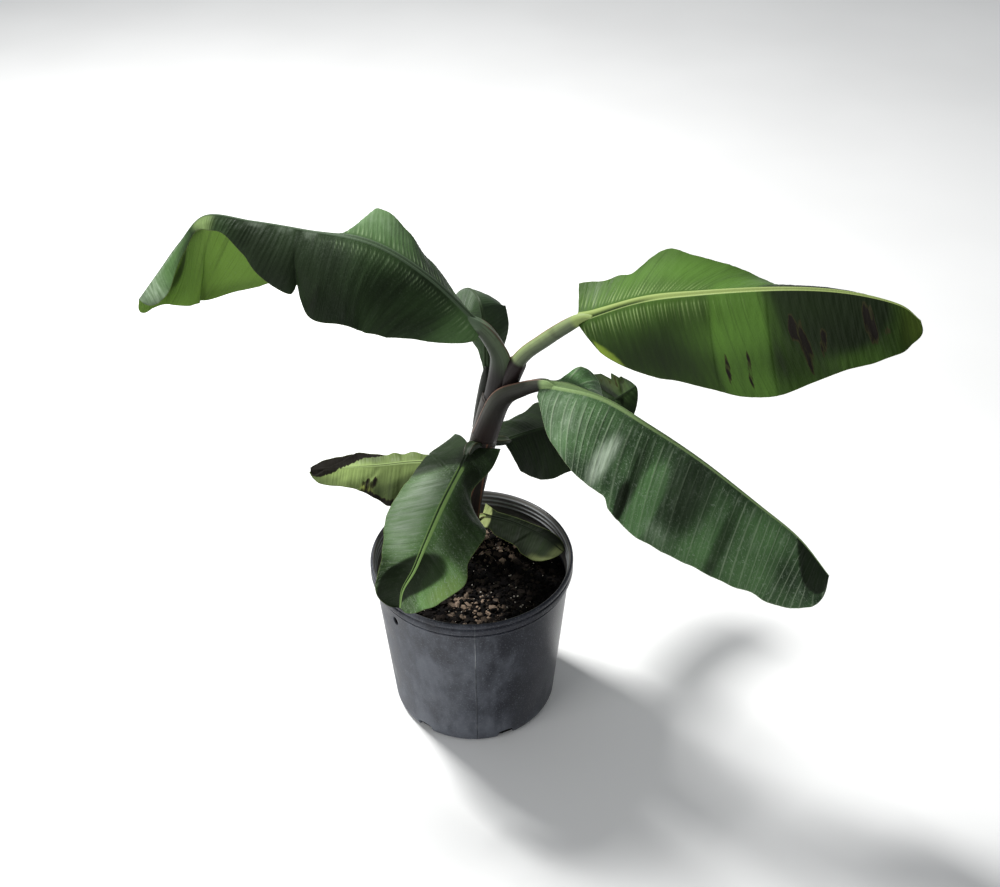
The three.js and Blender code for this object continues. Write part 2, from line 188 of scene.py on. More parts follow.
def rounded_cutter(radius, height, turn, deep, wide, tall, squareness):
    """A block with a rounded outline that is cut out of the pot's wall, facing out."""
    around = np.linspace(0, 2 * math.pi, 24, endpoint=False)
    x, z = np.cos(around), np.sin(around)
    shape = squareness / np.maximum(abs(x), abs(z)) + 1 - squareness
    turn = math.radians(turn)
    out, across = (np.array(v) for v in ((math.cos(turn), math.sin(turn), 0),
                                         (-math.sin(turn), math.cos(turn), 0)))
    points = [out * (radius + depth) + across * a * wide / 2
              + np.array((0, 0, height + b * tall / 2))
              for depth in (-deep / 2, deep / 2) for a, b in zip(x * shape, z * shape)]
    count = len(around)
    faces = grid_faces(2, count, closed=True)
    faces += [tuple(reversed(range(count))), tuple(range(count, 2 * count))]
    made = bpy.data.objects.new("cutter", mesh_of("cutter", points, faces))
    bpy.context.collection.objects.link(made)
    return made


def paint_polyethylene(tree):
    # Moulded black polyethylene reads dark slate with a soft gloss. Dust greys it in clouds,
    # heavier on the front left, and in fine specks, and the mould seams are scuffed pale. The grey
    # heaped on the front left is partly painted light, and where it thins out to the right it is
    # painted shade
    where = add(tree, "ShaderNodeTexCoord", output="Object")
    clouds = add(tree, "ShaderNodeTexNoise", {"Vector": where, "Scale": 1 / (60 * MM),
                                              "Detail": 5})
    specks = add(tree, "ShaderNodeTexNoise", {"Vector": where, "Scale": 1 / (2.2 * MM),
                                              "Detail": 2})
    runs = add(tree, "ShaderNodeMapping", {"Vector": where, "Scale": (1, 1, 0.5),
                                           "Location": (0.3, 0.1, 0)})
    streaks = add(tree, "ShaderNodeTexNoise", {"Vector": runs, "Scale": 1 / (26 * MM),
                                               "Detail": 6, "Roughness": 0.6})
    from_front_left = add(tree, "ShaderNodeVectorMath", {0: where, 1: (-0.05, -0.115, 0.13)},
                      output=1, operation="DISTANCE")
    # Heavier towards the front left: partly dust and partly painted light on the lit side
    dusty = add(tree, "ShaderNodeMapRange", {"Value": from_front_left, "From Min": 0.03,
                                             "From Max": 0.14, "To Min": 0.28, "To Max": 0})
    height = add(tree, "ShaderNodeSeparateXYZ", {0: where}, output="Z")
    splashed = add(tree, "ShaderNodeMapRange", {"Value": height, "From Max": 75 * MM,
                                                "To Min": 0.4, "To Max": 0})
    # Thinned out towards the right: painted shade on the side away from the light
    sideways = add(tree, "ShaderNodeSeparateXYZ", {0: where}, output="X")
    shaded_right = add(tree, "ShaderNodeMapRange", {"Value": sideways, "From Min": 30 * MM,
                                             "From Max": 110 * MM, "To Max": -0.3})
    dust_and_light = add(tree, "ShaderNodeMath", {0: add(tree, "ShaderNodeMath", {0: streaks, 1: dusty}),
                                        1: splashed})
    dust_and_light = add(tree, "ShaderNodeMath", {0: dust_and_light, 1: shaded_right})
    seam_turn = math.radians(SEAM_TURNS[0])
    across_seam = add(tree, "ShaderNodeVectorMath", {
        0: where, 1: (-math.sin(seam_turn), math.cos(seam_turn), 0)}, output=1,
        operation="DOT_PRODUCT")
    off_seam = add(tree, "ShaderNodeMath", {0: across_seam}, operation="ABSOLUTE")
    colour = coated(tree, "#181a23", "#262831", clouds, 0.3, 0.7)
    colour = coated(tree, colour, "#63676f", dust_and_light, 0.42, 1.0, 0.85)
    colour = coated(tree, colour, "#7b8087", specks, 0.54, 0.74, 0.3)
    scuffed = coated(tree, "#2e3237", "#7d8184", streaks, 0.45, 0.68)
    colour = coated(tree, scuffed, colour, off_seam, 0.2 * MM, 0.9 * MM)
    # The rings inside the rim carry painted highlights on their crests, and the inner wall there
    # is
    # painted a lighter grey as painted light: the crests stand in from the sloping wall
    level = add(tree, "ShaderNodeMapping", {"Vector": where, "Scale": (1, 1, 0)})
    reach = add(tree, "ShaderNodeVectorMath", {0: level}, output=1, operation="LENGTH")
    wall = add(tree, "ShaderNodeMath", {
        0: height, 1: RIM_SLOPE, 2: (RIM_RADIUS - RIM_INSET - RIM_SLOPE * POT_HEIGHT) * MM},
        operation="MULTIPLY_ADD")
    crest = add(tree, "ShaderNodeMath", {0: wall, 1: reach}, operation="SUBTRACT")
    ring_highlights = coated(tree, colour, "#76746f", crest, -2 * MM, -0.5 * MM, 0.85)
    ring_highlights = coated(tree, ring_highlights, "#b4b7b9", crest, 0.1 * MM, 0.9 * MM, 0.85)
    colour = coated(tree, colour, ring_highlights, height, HIGHLIT_ABOVE * MM, (HIGHLIT_ABOVE + 4) * MM)
    gloss = add(tree, "ShaderNodeMapRange", {"Value": dust_and_light, "From Min": 0.4,
                                             "From Max": 0.75, "To Min": 0.32, "To Max": 0.6})
    relief = add(tree, "ShaderNodeBump", {"Strength": 0.35, "Distance": 0.4 * MM,
                                          "Height": specks})
    return {"Base Color": colour, "Roughness": gloss, "Normal": relief}


polyethylene = finish("black polyethylene, moulded and dusty", paint_polyethylene, IOR=1.51,
                      Specular_IOR_Level=0.28)

# The profile runs from under the foot up the outside, over the rim and down the inside
band_low = POT_HEIGHT - RIM_HEIGHT
shoulder_low = band_low - SHOULDER_HEIGHT
corner_turn = np.linspace(0, math.pi / 2 - 0.08, 6)
corner = [(FOOT_RADIUS - FOOT_ROUND * (1 - math.sin(a)), FOOT_ROUND * (1 - math.cos(a)))
          for a in corner_turn]
outer = [(wall_radius(z), z) for z in np.linspace(FOOT_ROUND, shoulder_low, 46)]
shoulder = [(wall_radius(shoulder_low) + r, shoulder_low + z)
            for r, z in ((0.3, 0.4), (1.8, 0.8), (2.6, 1.8), (2.5, 3.0), (1.4, 3.6),
                         (-0.6, 4.2), (-1.2, 6.0), (-1.0, 7.4))]
band = [(RIM_RADIUS + r, band_low + z)
        for r, z in ((-3.2, -0.3), (-0.8, -0.6), (-0.1, 0.4), (0, 1.6), (-0.4, 6.5),
                     (-0.8, 7.8), (-2.6, 8.3), (-2.8, 10), (-2.4, 10.8), (-0.6, 11.2),
                     (-0.1, 12.4), (-0.3, 15), (-1.2, 17.1), (-2.6, 18), (-4.2, 17.7),
                     (-5, 16.6))]
rings = [(RIM_RADIUS - RIM_INSET - RIM_SLOPE * (POT_HEIGHT - z) - bulge, z)
         for top in RING_HEIGHTS
         for z, bulge in ((top + 2, 0), (top + 1, 0.9), (top - 1, 1.1), (top - 2, 0))]
inner = [(wall_radius(z) - POT_WALL, z)
         for z in np.linspace(shoulder_low - 4, INSIDE_CORNER, 14)]
profile = [(60, 0), *corner, *outer, *shoulder, *band, *rings, *inner,
           (FOOT_RADIUS - INSIDE_CORNER, POT_WALL)]

# Turns lie closer together beside the two seams, which wander a little down the wall
beside_seam = (-1.6, -1.1, -0.8, -0.55, -0.3, 0, 0.3, 0.55, 0.8, 1.1, 1.6)
turns = [a for a in np.arange(0, 360, 1.5)
         if all(abs(signed_turn(a - s)) > 2.2 for s in SEAM_TURNS)]
turns = np.array(sorted(turns + [(s + d) % 360 for s in SEAM_TURNS for d in beside_seam]))
radius, height = (np.array(v)[:, None] for v in zip(*profile))
on_wall = (height > FOOT_ROUND) & (height < band_low) & (radius > wall_radius(height) - 1)
wander = 0.25 * np.sin(height / 17) + 0.35 * np.exp(-((height - 160) / 12) ** 2)
off_seam = np.min([abs(signed_turn(turns[None, :] - s + wander)) for s in SEAM_TURNS], axis=0)
turned_radius = radius + on_wall * SEAM_HEIGHT * np.exp(-(off_seam / SEAM_HALF_WIDTH) ** 2)
turned_points = np.stack([turned_radius * np.cos(np.radians(turns)),
                          turned_radius * np.sin(np.radians(turns)),
                          height + 0 * turned_radius], -1).reshape(-1, 3)
pot_points = [*turned_points, (0, 0, 0), (0, 0, POT_WALL)]
under, inside = len(turned_points), len(turned_points) + 1
last_ring = (len(profile) - 1) * len(turns)
pot_faces = [*grid_faces(len(profile), len(turns), closed=True),
             *fan_faces(len(turns), 0, under, flip=True),
             *fan_faces(len(turns), last_ring, inside)]

uncut = bpy.data.objects.new("uncut pot", mesh_of("uncut pot", pot_points, pot_faces))
bpy.context.collection.objects.link(uncut)
cutters = [rounded_cutter(FOOT_RADIUS, 0, DRAIN_TURN + k * 360 / DRAIN_SLOTS, **DRAIN_SLOT)
           for k in range(DRAIN_SLOTS)]
cutters.append(rounded_cutter(wall_radius(HOLE_HEIGHT), HOLE_HEIGHT, HOLE_TURN, **HANGING_HOLE))
for cutter in cutters:
    cut = uncut.modifiers.new("cut", "BOOLEAN")
    cut.operation = "DIFFERENCE"
    cut.solver = "EXACT"
    cut.object = cutter
fitted("nursery_pot", evaluated_mesh(uncut), polyethylene, "pot_plastic", "pot")
for spare in (uncut, *cutters):
    bpy.data.objects.remove(spare)

# Soil. A moist bark potting mix that lies 40 mm below the rim, with chips of brown bark and a
# few white grains of perlite. The bed is one uneven mesh, and Geometry Nodes strew the chips. It
# is painted nearly black as shade, with two pools of painted light where the chips are pale.
SOIL_LEVEL = 215
SOIL_RADIUS = 130.5
SOIL_FOOT_RADIUS = 111
SOIL_FOOT = 4
STREWN_RADIUS = 124
SPOKES = 160
BED_RINGS = 60
STREWN_RINGS = 50
CHIP_TILT = 0.7


def waves(x, y, seed, size, count=7):
    """Smooth uneven waves of about the given size, from seeded sines, mostly from -1 to 1."""
    chance = np.random.default_rng(seed)
    total = np.zeros(np.broadcast(x, y).shape)
    for _ in range(count):
        heading = chance.uniform(0, 2 * math.pi)
        length = size * chance.uniform(0.6, 1.7)
        phase = chance.uniform(0, 2 * math.pi)
        total += np.sin((x * math.cos(heading) + y * math.sin(heading)) * 2 * math.pi / length
                        + phase)
    return total / math.sqrt(count * 2)


def soil_top(most, rings, spokes):
    """Points of the uneven soil from near its middle out to a radius, ring by ring. It heaves by
    2 or 3 mm, and its edge lies up to 3 mm lower."""
    radii = np.linspace(2, most, rings)[:, None]
    around = np.linspace(0, 2 * math.pi, spokes, endpoint=False)[None, :]
    x, y = radii * np.cos(around), radii * np.sin(around)
    z = (SOIL_LEVEL - 2.5 + 2.2 * waves(x, y, 4, 60) + 1.2 * waves(x, y, 5, 12)
         - 3 * np.clip((radii - 118) / 13, 0, 1))
    return np.stack([x, y, z], -1).reshape(-1, 3)


def paint_composted_bark(tree):
    # Composted bark is matt and crumbly and dark brown, and it is painted nearly black as the
    # shade that falls on it, evened out in broad patches
    where = add(tree, "ShaderNodeTexCoord", output="Object")
    crumbs = add(tree, "ShaderNodeTexNoise", {"Vector": where, "Scale": 1 / (5 * MM),
                                              "Detail": 6})
    painted_shade = add(tree, "ShaderNodeTexNoise", {"Vector": where, "Scale": 1 / (45 * MM),
                                            "Detail": 3})
    colour = coated(tree, "#060505", "#130e0b", crumbs, 0.38, 0.7)
    # Broad patches are evened to one near black, part of the painted shade
    colour = coated(tree, colour, "#0b0a0a", painted_shade, 0.45, 0.7, 0.6)
    gloss = add(tree, "ShaderNodeMapRange", {"Value": crumbs, "To Min": 0.7, "To Max": 1.0})
    relief = add(tree, "ShaderNodeBump", {"Strength": 0.9, "Distance": 2 * MM,
                                          "Height": crumbs})
    return {"Base Color": colour, "Roughness": gloss, "Normal": relief}


bed_top = soil_top(SOIL_RADIUS, BED_RINGS, SPOKES)
bed_foot = bed_top[-SPOKES:] * SOIL_FOOT_RADIUS / SOIL_RADIUS
bed_foot[:, 2] = SOIL_FOOT
bed_points = np.vstack([bed_top, bed_foot, [[0, 0, bed_top[0, 2]], [0, 0, SOIL_FOOT]]])
top_centre = (BED_RINGS + 1) * SPOKES
bed_faces = [*grid_faces(BED_RINGS + 1, SPOKES, closed=True, flip=True),
             *fan_faces(SPOKES, 0, top_centre),
             *fan_faces(SPOKES, BED_RINGS * SPOKES, top_centre + 1, flip=True)]
composted_bark = finish("composted bark, moist, in painted shade", paint_composted_bark,
                        Specular_IOR_Level=0.1)
fitted("soil_bed", mesh_of("soil bed", bed_points, bed_faces), composted_bark, "bark_mix", "soil")

# The chips are painted pale in two pools of light, at the front and beside the stem, and dark
# elsewhere as painted shadow
LIT_SPOTS = [(0.005, -0.065, 0.215), (0.035, 0.062, 0.215)]


def paint_chips(dark, pale):
    """The paint of chips that are each of one shade between a dark and a pale colour."""
    def paint(tree):
        # Broken bark and popped perlite are matt and flecked, and painted pale only in the two
        # pools of light, and dark elsewhere as painted shadow
        shade = add(tree, "ShaderNodeAttribute", output="Fac", attribute_name="chip_shade")
        where = add(tree, "ShaderNodeTexCoord", output="Object")
        flecks = add(tree, "ShaderNodeTexNoise", {"Vector": where, "Scale": 1 / (1.5 * MM),
                                                  "Detail": 3})
        colour = coated(tree, dark, pale, shade, 0.4, 1.1)
        colour = coated(tree, colour, dark, flecks, 0.45, 0.7, 0.5)
        front, middle = (add(tree, "ShaderNodeVectorMath", {0: where, 1: spot}, output=1,
                             operation="DISTANCE") for spot in LIT_SPOTS)
        painted_shade = add(tree, "ShaderNodeMath", {0: front, 1: middle}, operation="MINIMUM")
        # Outside the pools of light the chips are painted dark as shadow
        colour = coated(tree, colour, dark, painted_shade, 28 * MM, 42 * MM, 0.94)
        gloss = add(tree, "ShaderNodeMapRange", {"Value": flecks, "To Min": 0.65,
                                                 "To Max": 1.0})
        relief = add(tree, "ShaderNodeBump", {"Strength": 0.6, "Distance": 0.8 * MM,
                                              "Height": flecks})
        return {"Base Color": colour, "Roughness": gloss, "Normal": relief}
    return paint


bark = finish("pine bark chips, broken", paint_chips("#070505", "#a08b78"),
              Specular_IOR_Level=0.1)
perlite = finish("perlite, popped volcanic glass", paint_chips("#9a9388", "#ece8de"))


def rough_chip(name, stretch, seed):
    """One rough chip of a dozen corners, a unit across, for the strewing to repeat."""
    chance = np.random.default_rng(seed)
    golden = (1 + 5 ** 0.5) / 2
    corners = np.array([place for s in (-1, 1) for t in (-golden, golden)
                        for place in ((0, s, t), (s, t, 0), (t, 0, s))])
    corners = corners / np.linalg.norm(corners[0]) / 2 * chance.uniform(0.7, 1.15, (12, 1))
    solid = bmesh.new()
    for place in corners * stretch:
        solid.verts.new(place)
    hull = bmesh.ops.convex_hull(solid, input=solid.verts)
    bmesh.ops.delete(solid, geom=hull["geom_interior"] + hull["geom_unused"], context="VERTS")
    bmesh.ops.recalc_face_normals(solid, faces=solid.faces)
    mesh = bpy.data.meshes.new(name)
    solid.to_mesh(mesh)
    solid.free()
    return bpy.data.objects.new(name, mesh)


def strewing_tree(material):
    """Geometry Nodes that strew turned and shaded copies of a chip over a surface."""
    tree = bpy.data.node_groups.new("strew chips", "GeometryNodeTree")
    kinds = {"Ground": "Geometry", "Chip": "Object", "Per square metre": "Float",
             "Smallest": "Float", "Largest": "Float", "Lift": "Vector", "Seed": "Int"}
    keys = {label: tree.interface.new_socket(label, in_out="INPUT",
                                             socket_type="NodeSocket" + kind).identifier
            for label, kind in kinds.items()}
    tree.interface.new_socket("Chips", in_out="OUTPUT", socket_type="NodeSocketGeometry")
    given = tree.nodes.new("NodeGroupInput").outputs
    spots = add(tree, "GeometryNodeDistributePointsOnFaces", {
        "Mesh": given["Ground"], "Density": given["Per square metre"], "Seed": given["Seed"]})
    size = add(tree, "FunctionNodeRandomValue", {
        2: given["Smallest"], 3: given["Largest"], "Seed": given["Seed"]}, output=1)
    turn = add(tree, "FunctionNodeRandomValue", {
        0: (-CHIP_TILT, -CHIP_TILT, 0), 1: (CHIP_TILT, CHIP_TILT, 2 * math.pi),
        "Seed": given["Seed"]}, data_type="FLOAT_VECTOR")
    chip = add(tree, "GeometryNodeObjectInfo", {"Object": given["Chip"]}, output="Geometry")
    strewn = add(tree, "GeometryNodeInstanceOnPoints", {
        "Points": spots, "Instance": chip, "Rotation": turn, "Scale": size})
    shade = add(tree, "FunctionNodeRandomValue", {2: 0.0, 3: 1.0, "Seed": 9}, output=1)
    shaded = add(tree, "GeometryNodeStoreNamedAttribute", {
        "Geometry": strewn, "Name": "chip_shade", "Value": shade}, domain="INSTANCE")
    lifted = add(tree, "GeometryNodeTranslateInstances", {
        "Instances": shaded, "Translation": given["Lift"], "Local Space": False})
    real = add(tree, "GeometryNodeRealizeInstances", {"Geometry": lifted})
    painted = add(tree, "GeometryNodeSetMaterial", {"Geometry": real, "Material": material})
    add(tree, "NodeGroupOutput", {0: painted})
    return tree, keys


strewn_top = soil_top(STREWN_RADIUS, STREWN_RINGS, SPOKES)
strewn_faces = grid_faces(STREWN_RINGS, SPOKES, closed=True, flip=True)
broad_chip = rough_chip("broad chip", (1, 0.7, 0.42), 1)
short_chip = rough_chip("short chip", (1, 0.8, 0.6), 2)
grain = rough_chip("grain", (1, 0.9, 0.8), 3)
# Each kind's number to the square metre, then its least and largest size and its lift in mm
for name, chip, material, density, smallest, largest, lift, seed in (
        ("bark_chips_broad", broad_chip, bark, 13000, 8, 18, 0.5, 11),
        ("bark_chips_short", short_chip, bark, 52000, 2.5, 6.5, 1.0, 12),
        ("perlite_grains", grain, perlite, 2400, 1.5, 3.6, 2.2, 13)):
    strewing, keys = strewing_tree(material)
    ground = bpy.data.objects.new("ground", mesh_of("ground", strewn_top, strewn_faces))
    bpy.context.collection.objects.link(ground)
    strew = ground.modifiers.new("strew", "NODES")
    strew.node_group = strewing
    for label, value in {"Chip": chip, "Per square metre": density, "Smallest": smallest * MM,
                         "Largest": largest * MM, "Lift": (0, 0, lift * MM),
                         "Seed": seed}.items():
        strew[keys[label]] = value
    fitted(name, evaluated_mesh(ground), material, "bark_mix")
    bpy.data.objects.remove(ground)

# Pseudostem. Tightly wrapped leaf sheaths form the false trunk of a banana plant. It leans to
# the right, flares at its foot, and is dark purple brown with greener sheaths near the fork.
# It is lofted along the plant's centre line, with the margins of the sheaths raised on it.
STEM_PATH = [(-24, 73, 200), (-8, 67, 290), (13, 58, 390), (34, 50, 482)]
STEM_RADIUS = [(0, 27), (0.06, 26), (0.2, 22), (0.5, 18), (1, 17.5)]
STEM_ROWS = 120
STEM_SIDES = 72
# Each sheath's margin climbs round the stem: its turns at the foot and at the top, in degrees,
# and the shares of the stem's length that it starts and ends at
SHEATH_MARGINS = [(150, 215, 0.0, 0.75), (250, 175, 0.1, 0.9), (40, -30, 0.0, 0.6),
                  (300, 350, 0.3, 1.0)]


def follow(keys, t):
    """The value of a list of (share, value) pairs at t, on a smooth curve through them."""
    t = np.asarray(t, float)
    if not hasattr(keys, "__len__"):
        return np.full(t.shape, float(keys))
    at, value = np.array(keys, float).T
    straight = np.diff(value) / np.diff(at)
    slope = np.concatenate([straight[:1], (value[2:] - value[:-2]) / (at[2:] - at[:-2]),
                            straight[-1:]])
    t = np.clip(t, at[0], at[-1])
    i = np.clip(np.searchsorted(at, t) - 1, 0, len(at) - 2)
    span = at[i + 1] - at[i]
    w = (t - at[i]) / span
    return ((2 * w**3 - 3 * w**2 + 1) * value[i] + (w**3 - 2 * w**2 + w) * span * slope[i]
            + (3 * w**2 - 2 * w**3) * value[i + 1] + (w**3 - w**2) * span * slope[i + 1])


def curve_points(points, t):
    """Points at shares t of a uniform Catmull-Rom curve through the given points."""
    given = np.array(points, float)
    given = np.vstack([2 * given[0] - given[1], given, 2 * given[-1] - given[-2]])
    place = np.clip(t, 0, 1) * (len(points) - 1)
    i = np.minimum(place.astype(int), len(points) - 2)
    w = (place - i)[:, None]
    before, start, end, after = given[i], given[i + 1], given[i + 2], given[i + 3]
    v0, v1 = (end - before) / 2, (after - start) / 2
    return ((2 * start - 2 * end + v0 + v1) * w**3
            + (3 * end - 3 * start - 2 * v0 - v1) * w**2 + v0 * w + start)


def path_frames(points, rows, up=(0, 0, 1)):
    """Even stations along a curve, with their places, ways along, sides and normals, and the
    curve's length. A normal starts out towards up and is carried on without twisting."""
    fine = np.linspace(0, 1, 2000)
    line = curve_points(points, fine)
    run = np.concatenate([[0], np.cumsum(np.linalg.norm(np.diff(line, axis=0), axis=1))])
    share = np.interp(np.linspace(0, run[-1], rows), run, fine)
    ahead = (curve_points(points, np.minimum(1, share + 1e-4))
             - curve_points(points, np.maximum(0, share - 1e-4)))
    along = ahead / np.linalg.norm(ahead, axis=1)[:, None]
    normal = np.empty_like(along)
    carried = np.array(up, float)
    for i, way in enumerate(along):
        carried = carried - way * (carried @ way)
        carried = carried / np.linalg.norm(carried)
        normal[i] = carried
    return curve_points(points, share), along, np.cross(along, normal), normal, run[-1]


def limb_mesh(name, points, up, radius, margin, shade):
    """A closed limb along a curve, from radii on a grid of rows and angles from its upper side.
    Its limb attribute is the place along it in metres and the turn round it from 0 to 1, and
    its marks are the sheath margins, the lighter shade, which round a petiole is painted light and
    shade, and the share along."""
    rows, sides = radius.shape
    centre, along, side, normal, length = path_frames(points, rows, up)
    turn = np.linspace(0, 2 * math.pi, sides, endpoint=False)[None, :, None]
    ring = (centre[:, None] + radius[..., None]
            * (np.cos(turn) * normal[:, None] + np.sin(turn) * side[:, None]))
    share = np.repeat(np.linspace(0, 1, rows), sides)
    place = np.stack([share * length * MM, np.tile(np.arange(sides) / sides, rows), 0 * share],
                     -1)
    marks = np.stack([margin.ravel(), shade.ravel(), share], -1)
    mesh = mesh_of(name, np.vstack([ring.reshape(-1, 3), centre[:1], centre[-1:]]),
                   [*grid_faces(rows, sides, closed=True),
                    *fan_faces(sides, 0, rows * sides, flip=True),
                    *fan_faces(sides, (rows - 1) * sides, rows * sides + 1)])
    for label, values in (("limb", place), ("marks", marks)):
        layer = mesh.attributes.new(label, "FLOAT_VECTOR", "POINT")
        layer.data.foreach_set("vector", np.vstack([values, values[:1], values[-1:]]).ravel())
    return mesh


def paint_stalk(deep, light, margin, foot, foot_share, tip=None):
    """The paint of a stalk: deep and light as its marks say, lighter towards the top of the stem
    and, round a petiole, painted light on one side and painted shade on the other, with thin
    margins, a brown foot that ends between two shares of its length, and a tip of the midrib's
    colour."""
    def paint(tree):
        # Waxy skin has a soft gloss, which long fibres break into streaks, and a few brown stains
        where = add(tree, "ShaderNodeTexCoord", output="Object")
        limb = add(tree, "ShaderNodeAttribute", output="Vector", attribute_name="limb")
        marks = add(tree, "ShaderNodeAttribute", output="Vector", attribute_name="marks")
        on_margin, on_top, share = (add(tree, "ShaderNodeSeparateXYZ", {0: marks}, output=axis)
                                    for axis in "XYZ")
        # Fibres are drawn about 3 mm wide, wider than life, so that they show
        drawn = add(tree, "ShaderNodeMapping", {"Vector": limb,
                                                "Scale": (1 / (70 * MM), 34, 0)})
        fibres = add(tree, "ShaderNodeTexNoise", {"Vector": drawn, "Scale": 1.0, "Detail": 4})
        stains = add(tree, "ShaderNodeTexNoise", {"Vector": where, "Scale": 1 / (16 * MM),
                                                  "Detail": 5})
        # Round a petiole this is painted light and shade; on the stem it lightens towards the top
        colour = coated(tree, deep, light, on_top, 0.1, 0.9)
        colour = coated(tree, colour, deep, fibres, 0.45, 0.72, 0.55)
        colour = coated(tree, colour, foot, stains, 0.5, 0.72, 0.25)
        colour = coated(tree, foot, colour, share, *foot_share)
        if tip:
            colour = coated(tree, colour, tip, share, 0.84, 0.89)
        colour = coated(tree, colour, margin, on_margin, 0.2, 0.7, 0.85)
        gloss = add(tree, "ShaderNodeMapRange", {"Value": fibres, "From Min": 0.3,
                                                 "From Max": 0.7, "To Min": 0.36,
                                                 "To Max": 0.56})
        relief = add(tree, "ShaderNodeBump", {"Strength": 0.4, "Distance": 0.6 * MM,
                                              "Height": fibres})
        return {"Base Color": colour, "Roughness": gloss, "Normal": relief}
    return paint


stem_t = np.linspace(0, 1, STEM_ROWS)[:, None]
stem_turn = (np.arange(STEM_SIDES) * 360 / STEM_SIDES)[None, :]
stem_radius = follow(STEM_RADIUS, stem_t) + 0.25 * waves(stem_turn * 0.4, stem_t * 200, 8, 30)
stem_margin = np.zeros_like(stem_radius)
for foot_turn, top_turn, low, high in SHEATH_MARGINS:
    climb = np.clip((stem_t - low) / (high - low), 0, 1)
    off = signed_turn(stem_turn - foot_turn - (top_turn - foot_turn) * climb ** 1.4)
    inside = (stem_t >= low) & (stem_t <= high)
    stem_radius += inside * 1.1 / (1 + np.exp(-off / 2.5)) * np.exp(-(off / 90) ** 2)
    stem_margin = np.maximum(stem_margin, inside * np.exp(-((off - 2) / 4) ** 2))
stem_mesh = limb_mesh("pseudostem", STEM_PATH, (0, 1, 0), stem_radius, stem_margin,
                      0.3 + 0.5 * stem_t + 0 * stem_turn)
sheath_skin = finish("banana leaf sheath, waxy and purple brown",
                     paint_stalk("#171311", "#35302b", "#6b4a3a", "#2a1a16", (0.15, 0.45)),
                     IOR=1.42, Specular_IOR_Level=0.3)
fitted("pseudostem", stem_mesh, sheath_skin, "sheath", "stem")

# Petioles. Each leaf hangs on a stalk with a groove on its upper side between two thin margins.
# Its skin is waxy plant tissue, dark and sheath-like where it leaves the pseudostem and greener
# towards the blade. Each is lofted along the plant's own line and sinks into the pseudostem.
PETIOLE_ROWS = 90
PETIOLE_SIDES = 64
GROOVE_HALF_ANGLE = 52
GROOVE_DEPTH = 0.5
LIP_SHARE = 0.07

# path is the petiole's centre line in mm, from inside the pseudostem to the foot of the blade.
# radius is in mm at shares of its length. up is the side that the groove starts out on, and
# lit is how far round from there the painted light falls brightest, in degrees. The colours are
# the deep one, which the painted shade shows, and the light one, which the painted light shows,
# the margins', the foot's, the shares that the foot fades out between, and last the tip's where it
# has the midrib's colour.
PETIOLES = {
    "upper_left": dict(
        path=[(34, 50, 470), (42, 49, 520), (42, 46, 552), (30, 43, 580), (18, 42, 596),
              (-1, 43, 611)],
        radius=[(0, 17.2), (0.34, 16), (0.6, 13.5), (0.85, 10.5), (1, 4)], up=(1, 0.3, 0.2),
        colours=("#2e3628", "#66765a", "#5d4a3c", "#1d1918", (0.3, 0.55), "#50604a")),
    "upper_right": dict(
        path=[(40, 50, 478), (65, 38, 548), (97, 27, 586), (136, 10, 625), (154, -1, 635)],
        radius=[(0, 15), (0.3, 13), (0.345, 12), (0.375, 9.8), (0.66, 9.4), (0.88, 8),
                (1, 3.5)], up=(-0.29, 0.78, 0.55), lit=28,
        colours=("#525c48", "#808f60", "#7a4636", "#221a19", (0.35, 0.38), "#869758")),
    "lower_right": dict(
        path=[(20, 46, 425), (42, 34, 492), (70, 20, 519), (96, 6, 534), (114, -4, 531)],
        radius=[(0, 17), (0.42, 14.5), (0.7, 11), (0.86, 9), (1, 3)], up=(0, 0.22, 1),
        colours=("#1d1c18", "#3d3f34", "#745648", "#241c1a", (0.1, 0.35), "#87a069")),
    "back": dict(
        path=[(14, 64, 425), (18, 66, 465), (23, 64, 505), (23, 67, 520)],
        radius=[(0, 11), (0.5, 9), (0.85, 7), (1, 3)], up=(0.3, 1, 0),
        colours=("#1c1f18", "#30362a", "#4a3d2c", "#191512", (0.1, 0.3))),
    "back_right": dict(
        path=[(10, 62, 376), (24, 66, 396), (44, 70, 397), (55, 81, 389)],
        radius=[(0, 9), (0.5, 7), (0.8, 6), (1, 2.5)], up=(0, 0, 1),
        colours=("#161b12", "#232d1b", "#33301f", "#171311", (0.1, 0.3))),
    # The front petiole is painted dark all over, as the shadow that the leaves above cast on it
    "front": dict(
        path=[(12, 56, 392), (8, 40, 412), (0, 25, 418), (-7, 2, 411)],
        radius=[(0, 9), (0.5, 8), (0.68, 6.5), (1, 2.5)], up=(0, 0, 1),
        colours=("#182013", "#2a3822", "#33301f", "#191412", (0.1, 0.3))),
    "low_left": dict(
        path=[(-16, 68, 290), (-27, 64, 335), (-41, 60, 369), (-53, 62, 364)],
        radius=[(0, 8), (0.5, 6.5), (0.85, 5), (1, 2)], up=(0.5, 0, 1),
        colours=("#2a3320", "#5a6a40", "#5a4632", "#1f1814", (0.15, 0.4))),
    "in_pot": dict(
        path=[(-8, 74, 222), (0, 84, 240), (14, 90, 247), (25, 87, 245)],
        radius=[(0, 6), (0.5, 5), (0.75, 3.8), (1, 2)], up=(0, 0, 1),
        colours=("#4a5a30", "#8a9a5a", "#6a5a3a", "#2a2018", (0.1, 0.3))),
}

